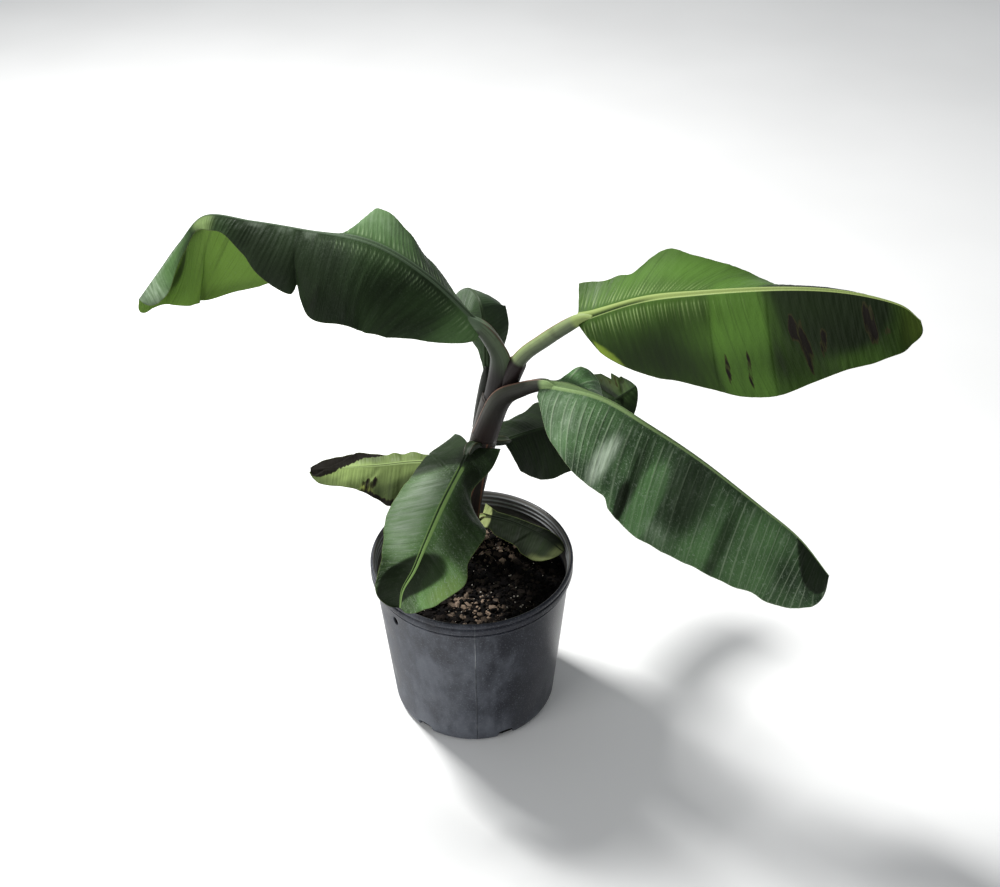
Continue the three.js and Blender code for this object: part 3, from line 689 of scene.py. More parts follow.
for name, petiole in PETIOLES.items():
    t = np.linspace(0, 1, PETIOLE_ROWS)[:, None]
    turn = signed_turn(np.arange(PETIOLE_SIDES) * 360 / PETIOLE_SIDES)[None, :]
    from_top = abs(turn)
    hollow = np.clip(1 - (from_top / GROOVE_HALF_ANGLE) ** 2, 0, 1) ** 0.8
    lip = np.exp(-((from_top - GROOVE_HALF_ANGLE) / 9) ** 2)
    radius = follow(petiole["radius"], t) * (1 - GROOVE_DEPTH * hollow + LIP_SHARE * lip)
    radius = radius + 0.12 * waves(from_top * 0.3, t * 120, 21, 25)
    # The skin is painted lightest where the light falls and shaded round the far side
    shade = 0.5 + 0.5 * np.cos(np.radians(turn - petiole.get("lit", 0))) + 0 * t
    painted_lip = lip * np.clip((0.95 - t) / 0.15, 0, 1)
    mesh = limb_mesh(name, petiole["path"], petiole["up"], radius, painted_lip, shade)
    skin = finish("petiole skin, waxy, " + name.replace("_", " "),
                  paint_stalk(*petiole["colours"]), IOR=1.42, Specular_IOR_Level=0.3)
    fitted("leaf_stalk_" + name, mesh, skin, "petiole_green", "petiole_" + name)

# Blades. A banana leaf is one thin waxy blade with a pale grooved midrib, and close parallel
# veins that run from it to the margin and pleat the blade. Each is one closed mesh that follows
# the plant's own ribs, widths and folds, with the veins, ripples, tears and margin in relief.
LEAF_THICKNESS = 0.8
LEAST_HALF_WIDTH = 3
MARGIN_WIDTH = 1.3
ROW_LENGTH = 0.75
COLUMNS_ON_RIB = 8
COLUMNS_ON_BLADE = 17
RIB_REACH = 1.4

# Sizes are in mm, and a list of pairs gives a value at shares of the rib's length. rib is the
# midrib's curve from the petiole to the tip, and rib_width is half the midrib's width.
# For each half of the blade, width is from the rib to the margin. fold is the degrees that it
# rises at the rib, and curl what they gain up to the margin. lean and bend are the same for the
# degrees that it slants forward. tip is where the outline starts to close and how blunt it is,
# and a tear is its place along, its depth as a share of the width, and its reach along.
# vein_spacing, vein_height and vein_sharpness shape the pleats, and vein_lean is how far they
# slant forward for each mm outwards. ripple is the height and the length of the blade's waves.
# A lap is a step of a height, and then its middle along and across, its width along, its reach
# across and its slant. seed fixes the veins and waves.
# base is how far the green goes from deep towards the fresher and lit one. comb is how pale the
# pleats' crests are painted beside the rib and far off, partly pale veins and partly painted
# highlights, and how far the first holds, and comb_along scales both. channel is where the
# midrib's channel runs, in rib widths right of its middle, groove how dark its painted shade is,
# and rib_from where the pale rib starts, below the painted shadow on the foot of the front leaf.
# A patch is what it adds, how much, its middle along and across, its reach along and across, its
# slant and how crisp its edge is. Across is a share of the width, negative on the left half. Dark
# patches are painted shade and cast shadow. The patches that make the green fresher, add the grey
# bloom or yellow it are partly the leaf's own colour and partly painted light, sheen and
# highlights.
LEAVES = {
    "upper_left": dict(
        rib=[(19, 42, 597), (-45, 50, 663), (-113, 65, 702), (-200, 90, 709), (-263, 105, 713),
             (-323, 120, 713), (-360, 115, 677), (-390, 105, 641), (-416, 90, 611)],
        rib_width=[(0, 8.5), (0.05, 5.5), (0.4, 3.8), (0.7, 2.6), (1, 1)],
        left=dict(
            width=[(0, 20), (0.03, 39), (0.08, 66), (0.16, 91), (0.25, 103), (0.33, 110),
                   (0.42, 114), (0.465, 116), (0.488, 110), (0.502, 93), (0.51, 78),
                   (0.522, 86), (0.545, 81), (0.58, 66), (0.62, 44), (0.67, 25), (0.73, 21),
                   (0.78, 12), (0.83, 17), (0.88, 26), (0.94, 38), (1, 44)],
            fold=[(0, -30), (0.3, -35), (0.6, -35), (1, -30)],
            curl=[(0, -60), (0.3, -40), (0.6, -30), (1, -20)],
            lean=[(0, -20), (0.1, 0), (0.3, -10), (0.5, -15), (0.6, 0), (1, 0)],
            tip=(0.93, 0.4), tears=[(0.51, 0.08, 0.004)]),
        right=dict(
            width=[(0, 25), (0.08, 46), (0.16, 58), (0.25, 66), (0.36, 83), (0.41, 92),
                   (0.45, 98), (0.5, 92), (0.57, 84), (0.6, 87), (0.64, 102), (0.7, 126),
                   (0.76, 113), (0.82, 88), (0.9, 54), (1, 30)],
            fold=[(0, -22), (0.1, -12), (0.2, -6), (0.36, 9), (0.39, 0), (0.435, -45),
                  (0.5, -65), (1, -75)],
            curl=[(0, -20), (0.28, 0), (0.36, -10), (0.5, -25), (0.6, -40), (1, -35)],
            lean=[(0, -10), (0.2, 5), (0.3, 2), (0.4, 0), (0.58, -6), (0.64, 1), (0.7, 14),
                  (0.733, 30), (0.767, 51), (0.8, 58), (0.85, 63), (1, 66)],
            tip=(0.93, 0.4)),
        vein_spacing=5.6, vein_height=0.8, vein_sharpness=5, vein_lean=0.25,
        comb=(1.0, 0.0, 26), comb_along=[(0, 1), (0.38, 1), (0.5, 0.3), (0.6, 0.15), (1, 0.1)],
        ripple=(1.6, 45), seed=31, base=0.2,
        groove=[(0, 0.6), (0.6, 0.4), (1, 0)],
        laps=[(2.0, 0.479, -0.78, 0.012, 0.2, -0.117), (0.7, 0.7, 0.25, 0.02, 0.3, -0.1)],
        # The underside is painted a bright yellow green, as light shining through the drooping tip
        colours=dict(deep="#141f0f", fresh_and_lit="#4d6a3e", under="#789e3e", rib="#50604a",
                     lines="#96ad82", yellowed_and_lit="#7a9058", frost=0.12),
        patches=[
            ("dark", 0.5, 0.33, -0.7, 0.32, 0.6),
            ("dark", 0.4, 0.56, -0.6, 0.12, 0.8),
            ("dark", 0.5, 0.478, -0.8, 0.006, 0.2, -0.117, 2),
            ("fresh_and_lit", 0.6, 0.03, -0.5, 0.06, 0.6),
            ("fresh_and_lit", 0.75, 0.33, 0.6, 0.1, 0.6),
            ("bloom_and_sheen", 0.25, 0.36, 0.7, 0.12, 0.5),
            ("bloom_and_sheen", 0.4, 0.47, -0.02, 0.02, 0.1, -0.1, 3),
            ("bloom_and_sheen", 0.35, 0.53, -0.02, 0.025, 0.12, -0.1, 3),
            ("bloom_and_sheen", 0.35, 0.6, -0.05, 0.03, 0.14, -0.1, 3),
            ("bloom_and_sheen", 0.5, 0.85, 0.05, 0.08, 0.28),
            ("bloom_and_sheen", 0.42, 0.97, -0.2, 0.055, 1.2),
            ("fresh_and_lit", 0.6, 0.9, -0.5, 0.09, 0.7),
            ("fresh_and_lit", 1.0, 0.79, 0.5, 0.05, 0.5),
            ("dark", 0.45, 0.84, -0.8, 0.05, 0.3),
            ("dark", 0.75, 0.82, 0.5, 0.011, 0.35, 0.06, 2),
            ("dark", 0.5, 0.765, 0.13, 0.04, 0.07),
            ("dark", 0.3, 0.72, 0.3, 0.005, 0.22, 0.06, 2),
            ("dark", 0.3, 0.685, 0.45, 0.006, 0.3, 0.06, 2),
            ("dark", 0.25, 0.75, 0.6, 0.008, 0.3, 0.06, 2),
            ("dark", 0.4, 0.67, 0.96, 0.08, 0.12),
            ("yellowed_and_lit", 0.7, 0.742, -0.5, 0.036, 1.2, 0.0, 2),
            ("yellowed_and_lit", 0.2, 0.66, 0.7, 0.12, 0.5)]),
    "upper_right": dict(
        rib=[(136, 10, 626), (204, -30, 676), (265, -75, 712), (343, -120, 743),
             (403, -150, 756), (453, -178, 757), (476, -190, 744)],
        rib_width=[(0, 7.5), (0.05, 5.5), (0.4, 4), (0.7, 2.8), (1, 1)],
        left=dict(
            width=[(0, 50), (0.04, 51), (0.08, 51), (0.125, 59), (0.17, 59), (0.22, 84),
                   (0.255, 96), (0.31, 88), (0.4, 84), (0.5, 92), (0.7, 100), (1, 70)],
            fold=[(0, 38), (0.12, 20), (0.25, 12), (0.4, -4), (0.6, -12), (0.8, -20), (1, -35)],
            curl=[(0, 0), (0.4, 0), (0.5, -22), (0.6, -45), (1, -50)],
            lean=[(0, -5), (0.15, -10), (0.3, -10), (0.4, 0), (1, 10)],
            tip=(0.8, 0.6)),
        right=dict(
            width=[(0, 8), (0.03, 27), (0.08, 55), (0.16, 80), (0.25, 94), (0.33, 100),
                   (0.42, 111), (0.5, 120), (0.6, 118), (0.7, 102), (0.8, 83), (0.867, 71),
                   (0.9, 61), (0.933, 51), (0.967, 38), (1, 30)],
            fold=[(0, -35), (0.3, -45), (1, -50)],
            curl=[(0, -20), (0.5, -30), (1, -10)],
            lean=[(0, 0), (0.4, 5), (0.85, 13), (0.9, 20), (0.933, 27), (0.967, 45), (1, 60)],
            tip=(0.94, 0.45)),
        vein_spacing=5.0, vein_height=0.5, vein_sharpness=4, vein_lean=0.2,
        comb=(1.0, 0.2, 30), comb_along=[(0, 1), (0.38, 0.9), (0.46, 0.4), (1, 0.3)],
        ripple=(1.5, 50), seed=32, base=0.3,
        groove=[(0, 0.95), (0.2, 0.8), (0.3, 0.3), (1, 0)], channel=0.45,
        laps=[(0.6, 0.44, 0.5, 0.012, 0.6, 0.0), (0.6, 0.6, 0.5, 0.012, 0.6, 0.0)],
        colours=dict(deep="#131e07", fresh_and_lit="#486926", under="#5d7a3a", rib="#8f9f5e",
                     lines="#a0b578", yellowed_and_lit="#7d9434"),
        patches=[
            ("fresh_and_lit", 0.45, 0.3, -0.6, 0.3, 0.6),
            ("dark", 0.55, 0.2, 0.75, 0.22, 0.5),
            ("dark", 0.3, 0.33, 0.6, 0.1, 0.6),
            ("fresh_and_lit", 0.1, 0.2, 0.1, 0.25, 0.3),
            ("dark", 0.2, 0.42, -0.7, 0.1, 0.5),
            ("fresh_and_lit", 0.34, 0.52, 0.5, 0.08, 1.2, 0.02, 6),
            ("dark", 0.88, 0.755, 0.05, 0.155, 0.78, 0.03, 5),
            ("dark", 0.4, 0.88, 0.3, 0.1, 0.6),
            ("dry", 0.54, 0.66, 0.4, 0.01, 0.18, 0.02, 2),
            ("dry", 0.6, 0.69, 0.58, 0.02, 0.38, 0.05, 2),
            ("dry", 0.56, 0.742, 0.6, 0.014, 0.22, 0.0, 2),
            ("dry", 0.6, 0.865, 0.4, 0.018, 0.42, 0.04, 2),
            ("dry", 0.54, 0.905, 0.55, 0.01, 0.14, 0.0, 2),
            ("dry", 0.5, 0.475, 0.72, 0.01, 0.22, 0.0, 2),
            ("dry", 0.5, 0.535, 0.74, 0.009, 0.26, 0.0, 2),
            ("yellowed_and_lit", 0.9, 0.1, 0.97, 0.042, 0.17, 0.15, 4),
            ("yellowed_and_lit", 0.3, 0.98, 0.4, 0.05, 0.8)]),
    "lower_right": dict(
        rib=[(97, 5, 536), (164, -30, 540), (223, -65, 521), (286, -95, 489),
             (355, -125, 443), (406, -140, 402), (447, -151, 350)],
        rib_width=[(0, 9), (0.05, 7.4), (0.4, 5), (0.7, 3.2), (1, 1)],
        left=dict(
            width=[(0, 9), (0.04, 14), (0.07, 44), (0.1, 58), (0.15, 62), (0.3, 105), (0.5, 115),
                   (0.7, 100), (1, 80)],
            fold=[(0, -15), (0.06, 8), (0.1, -14), (0.14, -45), (0.2, -58), (0.3, -65),
                  (1, -70)],
            curl=[(0, 0), (1, -10)],
            lean=[(0, -20), (0.1, 0), (1, 10)],
            tip=(0.8, 0.5)),
        right=dict(
            width=[(0, 21), (0.03, 39), (0.08, 72), (0.16, 97), (0.25, 105), (0.29, 105),
                   (0.312, 106), (0.33, 116), (0.42, 127), (0.5, 124), (0.6, 116), (0.7, 107),
                   (0.8, 95), (0.867, 89), (0.9, 82), (0.933, 72), (0.967, 57), (1, 42)],
            fold=[(0, -35), (1, -38)],
            curl=[(0, -20), (0.5, -30), (1, -30)],
            lean=[(0, -35), (0.25, 0), (0.85, 12), (0.9, 18), (0.933, 23), (0.967, 32), (1, 45)],
            bend=[(0, 40), (0.3, 5), (1, 10)],
            tip=(0.97, 0.4)),
        vein_spacing=11.0, vein_height=1.2, vein_sharpness=30, vein_lean=0.1,
        comb=(0.9, 0.75, 40), ripple=(1.8, 50), seed=33, base=0.35,
        groove=[(0, 0.5), (1, 0)],
        laps=[(2.5, 0.355, 0.75, 0.015, 0.35, 0.03), (2.0, 0.905, 0.3, 0.02, 0.7, 0.13)],
        colours=dict(deep="#1a2719", fresh_and_lit="#55784a", under="#66804a", rib="#87a069",
                     edge="#8c9c72", lines="#9fae92", frost=0.8),
        patches=[
            ("bloom_and_sheen", 1.0, 0.262, 0.66, 0.028, 0.34, -0.02),
            ("bloom_and_sheen", 0.3, 0.08, 0.55, 0.1, 0.6),
            ("fresh_and_lit", 0.15, 0.09, 0.5, 0.12, 0.6),
            ("dark", 0.6, 0.355, 0.45, 0.026, 0.42, 0.03),
            ("dark", 0.9, 0.352, 0.85, 0.016, 0.22, 0.03, 4),
            ("fresh_and_lit", 1.0, 0.412, 0.68, 0.038, 0.42, 0.0, 3),
            ("dark", 0.65, 0.51, 0.4, 0.08, 0.5, 0.0, 2),
            ("bloom_and_sheen", 0.22, 0.5, 0.3, 0.1, 0.4),
            ("bloom_and_sheen", 0.3, 0.48, 0.88, 0.06, 0.14),
            ("dark", 0.25, 0.62, 0.95, 0.12, 0.12),
            ("fresh_and_lit", 0.35, 0.6, 0.8, 0.05, 0.4),
            ("dark", 0.6, 0.655, 0.6, 0.022, 0.5, 0.02, 2),
            ("fresh_and_lit", 0.35, 0.76, 0.6, 0.08, 0.6),
            ("dark", 0.97, 0.975, 0.0, 0.14, 1.1, 0.17, 24),
            ("fresh_and_lit", 0.5, 0.09, -0.5, 0.1, 0.6)]),
    "back_right": dict(
        rib=[(44, 70, 397), (81, 110, 382), (140, 160, 365), (193, 205, 358), (240, 230, 374)],
        rib_width=[(0, 5), (0.1, 3.4), (1, 0.8)],
        left=dict(width=[(0, 30), (0.2, 60), (0.5, 76), (0.8, 74), (1, 60)],
                  fold=[(0, -10), (0.5, 0), (1, 20)], curl=-20, tip=(0.8, 0.5),
                  tears=[(0.92, 0.3, 0.02), (0.96, 0.2, 0.015)]),
        right=dict(width=[(0, 48), (0.16, 62), (0.33, 76), (0.5, 72), (0.7, 56), (1, 50)],
                   fold=[(0, -30), (0.3, -60), (1, -45)], curl=-20, tip=(0.7, 0.6)),
        vein_spacing=6.0, vein_height=0.6, vein_sharpness=2, vein_lean=0.2,
        comb=(0.3, 0.05, 25), ripple=(3.0, 26), seed=34, base=0.15,
        groove=[(0, 0.4), (1, 0)],
        laps=[(3.0, 0.84, -0.4, 0.03, 0.7, 0.05), (2.5, 0.93, -0.4, 0.02, 0.7, -0.08)],
        colours=dict(deep="#10180d", fresh_and_lit="#425d2f", under="#3d5428", rib="#1f2b18",
                     gloss=(0.6, 0.75)),
        patches=[
            ("dark", 0.25, 0.3, 0.2, 0.4, 1.2),
            ("dark", 0.5, 0.15, -0.5, 0.3, 0.7),
            ("fresh_and_lit", 0.14, 0.88, -0.3, 0.13, 1.0),
            ("dark", 0.9, 0.86, -0.3, 0.016, 0.8, 0.05),
            ("dark", 0.7, 0.94, -0.4, 0.01, 0.6, -0.08),
            ("yellowed_and_lit", 0.15, 0.92, -0.5, 0.06, 0.6),
            ("dry", 0.4, 0.93, -0.6, 0.08, 0.7)]),
    "front": dict(
        rib=[(0, 25, 419), (-10, -10, 415), (-34, -60, 394), (-55, -100, 365), (-70, -120, 336),
             (-85, -130, 311), (-90, -130, 280)],
        rib_width=[(0, 5.5), (0.1, 5), (0.6, 3.6), (1, 1)],
        left=dict(
            width=[(0, 48), (0.06, 42), (0.12, 35), (0.18, 33), (0.25, 42), (0.33, 60),
                   (0.42, 67), (0.5, 64), (0.6, 60), (0.7, 67), (0.8, 52), (1, 36)],
            fold=[(0, -25), (0.1, -35), (0.2, -60), (0.3, -50), (0.4, -25), (0.6, -20),
                  (1, 10)],
            curl=[(0, -10), (1, 20)], lean=[(0, -35), (0.15, 0), (1, 0)], tip=(0.8, 0.5)),
        right=dict(
            width=[(0, 60), (0.08, 68), (0.25, 64), (0.5, 68), (0.6, 64), (0.7, 52), (0.8, 42),
                   (1, 38)],
            fold=[(0, -25), (0.3, -8), (0.65, -5), (0.85, 20), (1, 25)],
            curl=[(0, -10), (0.65, 5), (0.85, 30), (1, 30)],
            lean=[(0, -62), (0.12, -24), (0.3, 0), (1, 0)], bend=[(0, 30), (0.2, 0), (1, 0)],
            tip=(0.8, 0.5)),
        vein_spacing=3.6, vein_height=0.5, vein_sharpness=4, vein_lean=0.5,
        comb=(0.7, 0.6, 40), ripple=(1.6, 35), seed=35, base=0.35,
        groove=[(0, 1.0), (0.8, 1.0), (1, 0.2)], channel=0.35, rib_from=0.13,
        laps=[(2.5, 0.75, 0.4, 0.03, 0.7, 0.2), (1.5, 0.17, 0.5, 0.02, 0.7, -0.1)],
        colours=dict(deep="#192514", fresh_and_lit="#64894f", under="#5d7d3a", rib="#8aab62", frost=1.0),
        patches=[
            ("bloom_and_sheen", 0.7, 0.5, 0.6, 0.25, 0.45),
            ("bloom_and_sheen", 0.35, 0.3, 0.3, 0.12, 0.4),
            ("fresh_and_lit", 0.5, 0.5, 0.6, 0.25, 0.6),
            ("dark", 0.85, -0.05, 0.0, 0.17, 2.0, 0.19, 7),
            ("dark", 0.75, 0.08, -0.6, 0.12, 0.7, 0.0, 3),
            ("dark", 0.62, 0.38, -0.65, 0.25, 0.62, 0.0, 4),
            ("fresh_and_lit", 1.0, 0.76, -0.7, 0.12, 0.4, -0.1, 3),
            ("bloom_and_sheen", 0.3, 0.6, -0.3, 0.08, 0.12),
            ("yellowed_and_lit", 0.3, 0.76, -0.85, 0.1, 0.3),
            ("dark", 0.97, 0.9, 0.35, 0.18, 0.95, 0.22, 12),
            ("bloom_and_sheen", 0.25, 0.85, 0.2, 0.06, 0.14, 0.0, 3)]),
    "low_left": dict(
        rib=[(-41, 60, 370), (-84, 70, 361), (-128, 75, 352), (-195, 85, 340), (-226, 95, 329)],
        rib_width=[(0, 4.2), (0.1, 3), (1, 0.8)],
        left=dict(width=[(0, 30), (0.2, 52), (0.42, 57), (0.5, 46), (0.6, 35), (0.7, 28),
                         (0.85, 25), (1, 28)],
                  fold=[(0, -40), (0.5, -45), (1, -40)], curl=-20, tip=(0.8, 0.5)),
        right=dict(width=[(0, 10), (0.2, 20), (0.33, 19), (0.5, 22), (0.62, 25), (0.75, 20),
                          (1, 20)],
                   fold=[(0, 0), (1, 10)], curl=[(0, 0), (1, 20)], tip=(0.75, 0.5)),
        vein_spacing=5.0, vein_height=0.5, vein_sharpness=2, vein_lean=0.2,
        comb=(0.1, 0.05, 20), ripple=(2.6, 30), seed=36, base=0.42,
        groove=[(0, 0.8), (0.6, 0.8), (0.7, 0)],
        laps=[(2.5, 0.86, 0.0, 0.05, 1.5, -0.2), (2.0, 0.55, -0.6, 0.03, 0.5, -0.2)],
        colours=dict(deep="#27321a", fresh_and_lit="#889c5c", under="#5d7d3a", rib="#8a9d62"),
        patches=[
            ("fresh_and_lit", 0.5, 0.72, -0.1, 0.2, 0.6),
            ("dark", 0.62, 0.28, -0.85, 0.34, 0.62, -0.26, 5),
            ("dark", 0.18, 0.45, 0.4, 0.15, 0.5),
            ("dark", 0.2, 0.1, 0.2, 0.12, 1.0),
            ("dry", 0.75, 0.56, 1.0, 0.14, 0.32, 0.0, 2),
            ("dry", 0.85, 1.0, 0.3, 0.36, 1.4, -0.22, 5),
            ("dry", 0.5, 0.52, -0.55, 0.07, 0.3, -0.2, 2),
            ("dry", 0.75, 0.45, -1.0, 0.2, 0.2),
            ("yellowed_and_lit", 0.8, 0.56, -0.85, 0.05, 0.2)]),
    # The leaf lying in the pot is painted near black, its midrib too, as the shade it lies in
    "in_pot": dict(
        rib=[(14, 90, 248), (55, 76, 247), (98, 51, 242), (127, 19, 240)],
        rib_width=[(0, 3.2), (0.1, 2.4), (1, 0.8)],
        left=dict(width=[(0, 18), (0.07, 14), (0.16, 9), (0.5, 9), (0.8, 13), (1, 16)], fold=32,
                  curl=10, tip=(0.7, 0.5)),
        right=dict(width=[(0, 22), (0.1, 17), (0.2, 26), (0.5, 32), (0.6, 38), (1, 40)],
                   fold=[(0, -35), (0.5, -30), (1, -22)], curl=10, tip=(0.75, 0.45)),
        vein_spacing=4.5, vein_height=0.35, vein_sharpness=2, vein_lean=0.2,
        comb=(0.1, 0.05, 20), ripple=(1.2, 28), seed=37, base=0.3,
        groove=[(0, 0), (1, 0)],
        laps=[(0.8, 0.5, 0.6, 0.04, 0.6, -0.12)],
        colours=dict(deep="#080c06", fresh_and_lit="#202c15", under="#4c5a34", rib="#121a0d",
                     yellowed_and_lit="#a4af72", gloss=(0.6, 0.75)),
        patches=[
            ("dark", 0.2, 0.3, 0.3, 0.25, 1.2),
            ("fresh_and_lit", 0.35, 0.8, 0.5, 0.2, 0.5),
            ("yellowed_and_lit", 0.4, 0.85, 0.95, 0.15, 0.25),
            ("yellowed_and_lit", 0.35, 0.98, 0.1, 0.1, 0.8),
            ("yellowed_and_lit", 0.95, 0.02, 0.0, 0.08, 1.6, 0.0, 6)]),
    "back": dict(
        rib=[(23, 64, 505), (22, 74, 560), (16, 92, 600), (3, 135, 596), (-14, 190, 560),
             (-30, 235, 510)],
        rib_width=[(0, 5), (0.1, 3.6), (1, 0.8)],
        left=dict(width=[(0, 2), (0.12, 12), (0.22, 38), (0.5, 42), (1, 36)],
                  fold=[(0, -15), (0.4, -45), (1, -55)], curl=-25, tip=(0.7, 0.5)),
        right=dict(width=[(0, 8), (0.1, 24), (0.2, 38), (0.5, 42), (1, 36)],
                   fold=[(0, -5), (0.3, -25), (1, -55)], curl=-25, tip=(0.7, 0.5)),
        vein_spacing=6.0, vein_height=0.5, vein_sharpness=2, vein_lean=0.2,
        comb=(0.2, 0.05, 20), ripple=(1.5, 40), seed=38, base=0.35,
        groove=[(0, 0.4), (1, 0)], laps=[],
        colours=dict(deep="#242e22", fresh_and_lit="#4d6543", under="#4c6634", rib="#37452f"),
        patches=[
            ("dark", 0.4, 0.3, 0.2, 0.2, 1.2),
            ("bloom_and_sheen", 0.3, 0.45, -0.2, 0.06, 0.5)]),
}


def vein_ridges(across, spacing, seed, sharpness=2):
    """Heights from 0 to 1 of unevenly spaced ridges, over a distance across them in mm."""
    chance = np.random.default_rng(seed)
    places = np.cumsum(spacing * chance.uniform(0.65, 1.35, 600)) - 200
    tall = chance.uniform(0.5, 1, 600)
    order = np.interp(across, places, np.arange(600))
    nearest = np.round(order).astype(int)
    return tall[nearest] * np.cos(math.pi * (order - nearest)) ** sharpness


def half_width(half, t):
    """A half's width at each row, closed towards the tip and cut by its tears."""
    start, bluntness = half["tip"]
    shut = np.clip(1 - np.clip((t - start) / (1 - start), 0, 1) ** 2, 0, 1) ** bluntness
    width = np.maximum(LEAST_HALF_WIDTH, follow(half["width"], t) * shut)
    for place, depth, spread in half.get("tears", ()):
        width = width * (1 - depth * np.clip(1 - abs(t - place) / spread, 0, 1))
    return width


def half_surface(half, sign, frames, t, rib_width):
    """One half's points on a grid of rows and columns, with their outward ways, their distances
    from the rib in mm and their shares of the width, both negative on the left half."""
    point, along, side, normal = frames
    width = half_width(half, t)[:, None]
    rib_edge = np.minimum(RIB_REACH * rib_width, 0.4 * width)
    near_margin = np.maximum(width - MARGIN_WIDTH, 0.9 * width)
    on_blade = np.linspace(0, 1, COLUMNS_ON_BLADE)[1:]
    distance = np.hstack([rib_edge * np.linspace(0, 1, COLUMNS_ON_RIB),
                          rib_edge + (near_margin - rib_edge) * on_blade, width])
    u = distance / width
    between = (u[:, 1:] + u[:, :-1]) / 2
    fold, curl, lean, bend = (follow(half.get(key, 0), t)[:, None]
                              for key in ("fold", "curl", "lean", "bend"))
    rise = np.radians(fold + curl * between)[..., None]
    forward = np.radians(lean + bend * between)[..., None]
    way = (np.cos(forward) * (sign * np.cos(rise) * side[:, None]
                              + np.sin(rise) * normal[:, None])
           + np.sin(forward) * along[:, None])
    steps = np.cumsum(way * np.diff(distance)[..., None], axis=1)
    place = point[:, None] + np.concatenate([0 * steps[:, :1], steps], axis=1)
    tilt = np.radians(fold + curl * u)[..., None]
    out = np.cos(tilt) * normal[:, None] - sign * np.sin(tilt) * side[:, None]
    blend = np.clip(distance / (2.2 * rib_width), 0, 1)[..., None] ** 2
    out = normal[:, None] * (1 - blend) + out * blend
    return place, out / np.linalg.norm(out, axis=2)[..., None], sign * distance, sign * u


def patch(t, u, middle, across, reach, spread, slant=0.0, crispness=1.5):
    """An oval patch: 1 at its middle, and 0 beyond its reach along and its spread across."""
    along = t - middle - slant * (u - across)
    return np.exp(-((along / reach) ** 2 + ((u - across) / spread) ** 2) ** crispness)


def lapped_edge(t, u, middle, across, width, spread, slant):
    """A step along a slanting line, where the blade is torn or folded over itself."""
    off = (t - middle - slant * (u - across)) / width
    return -np.tanh(4 * off) * np.exp(-abs(off) - ((u - across) / spread) ** 4)


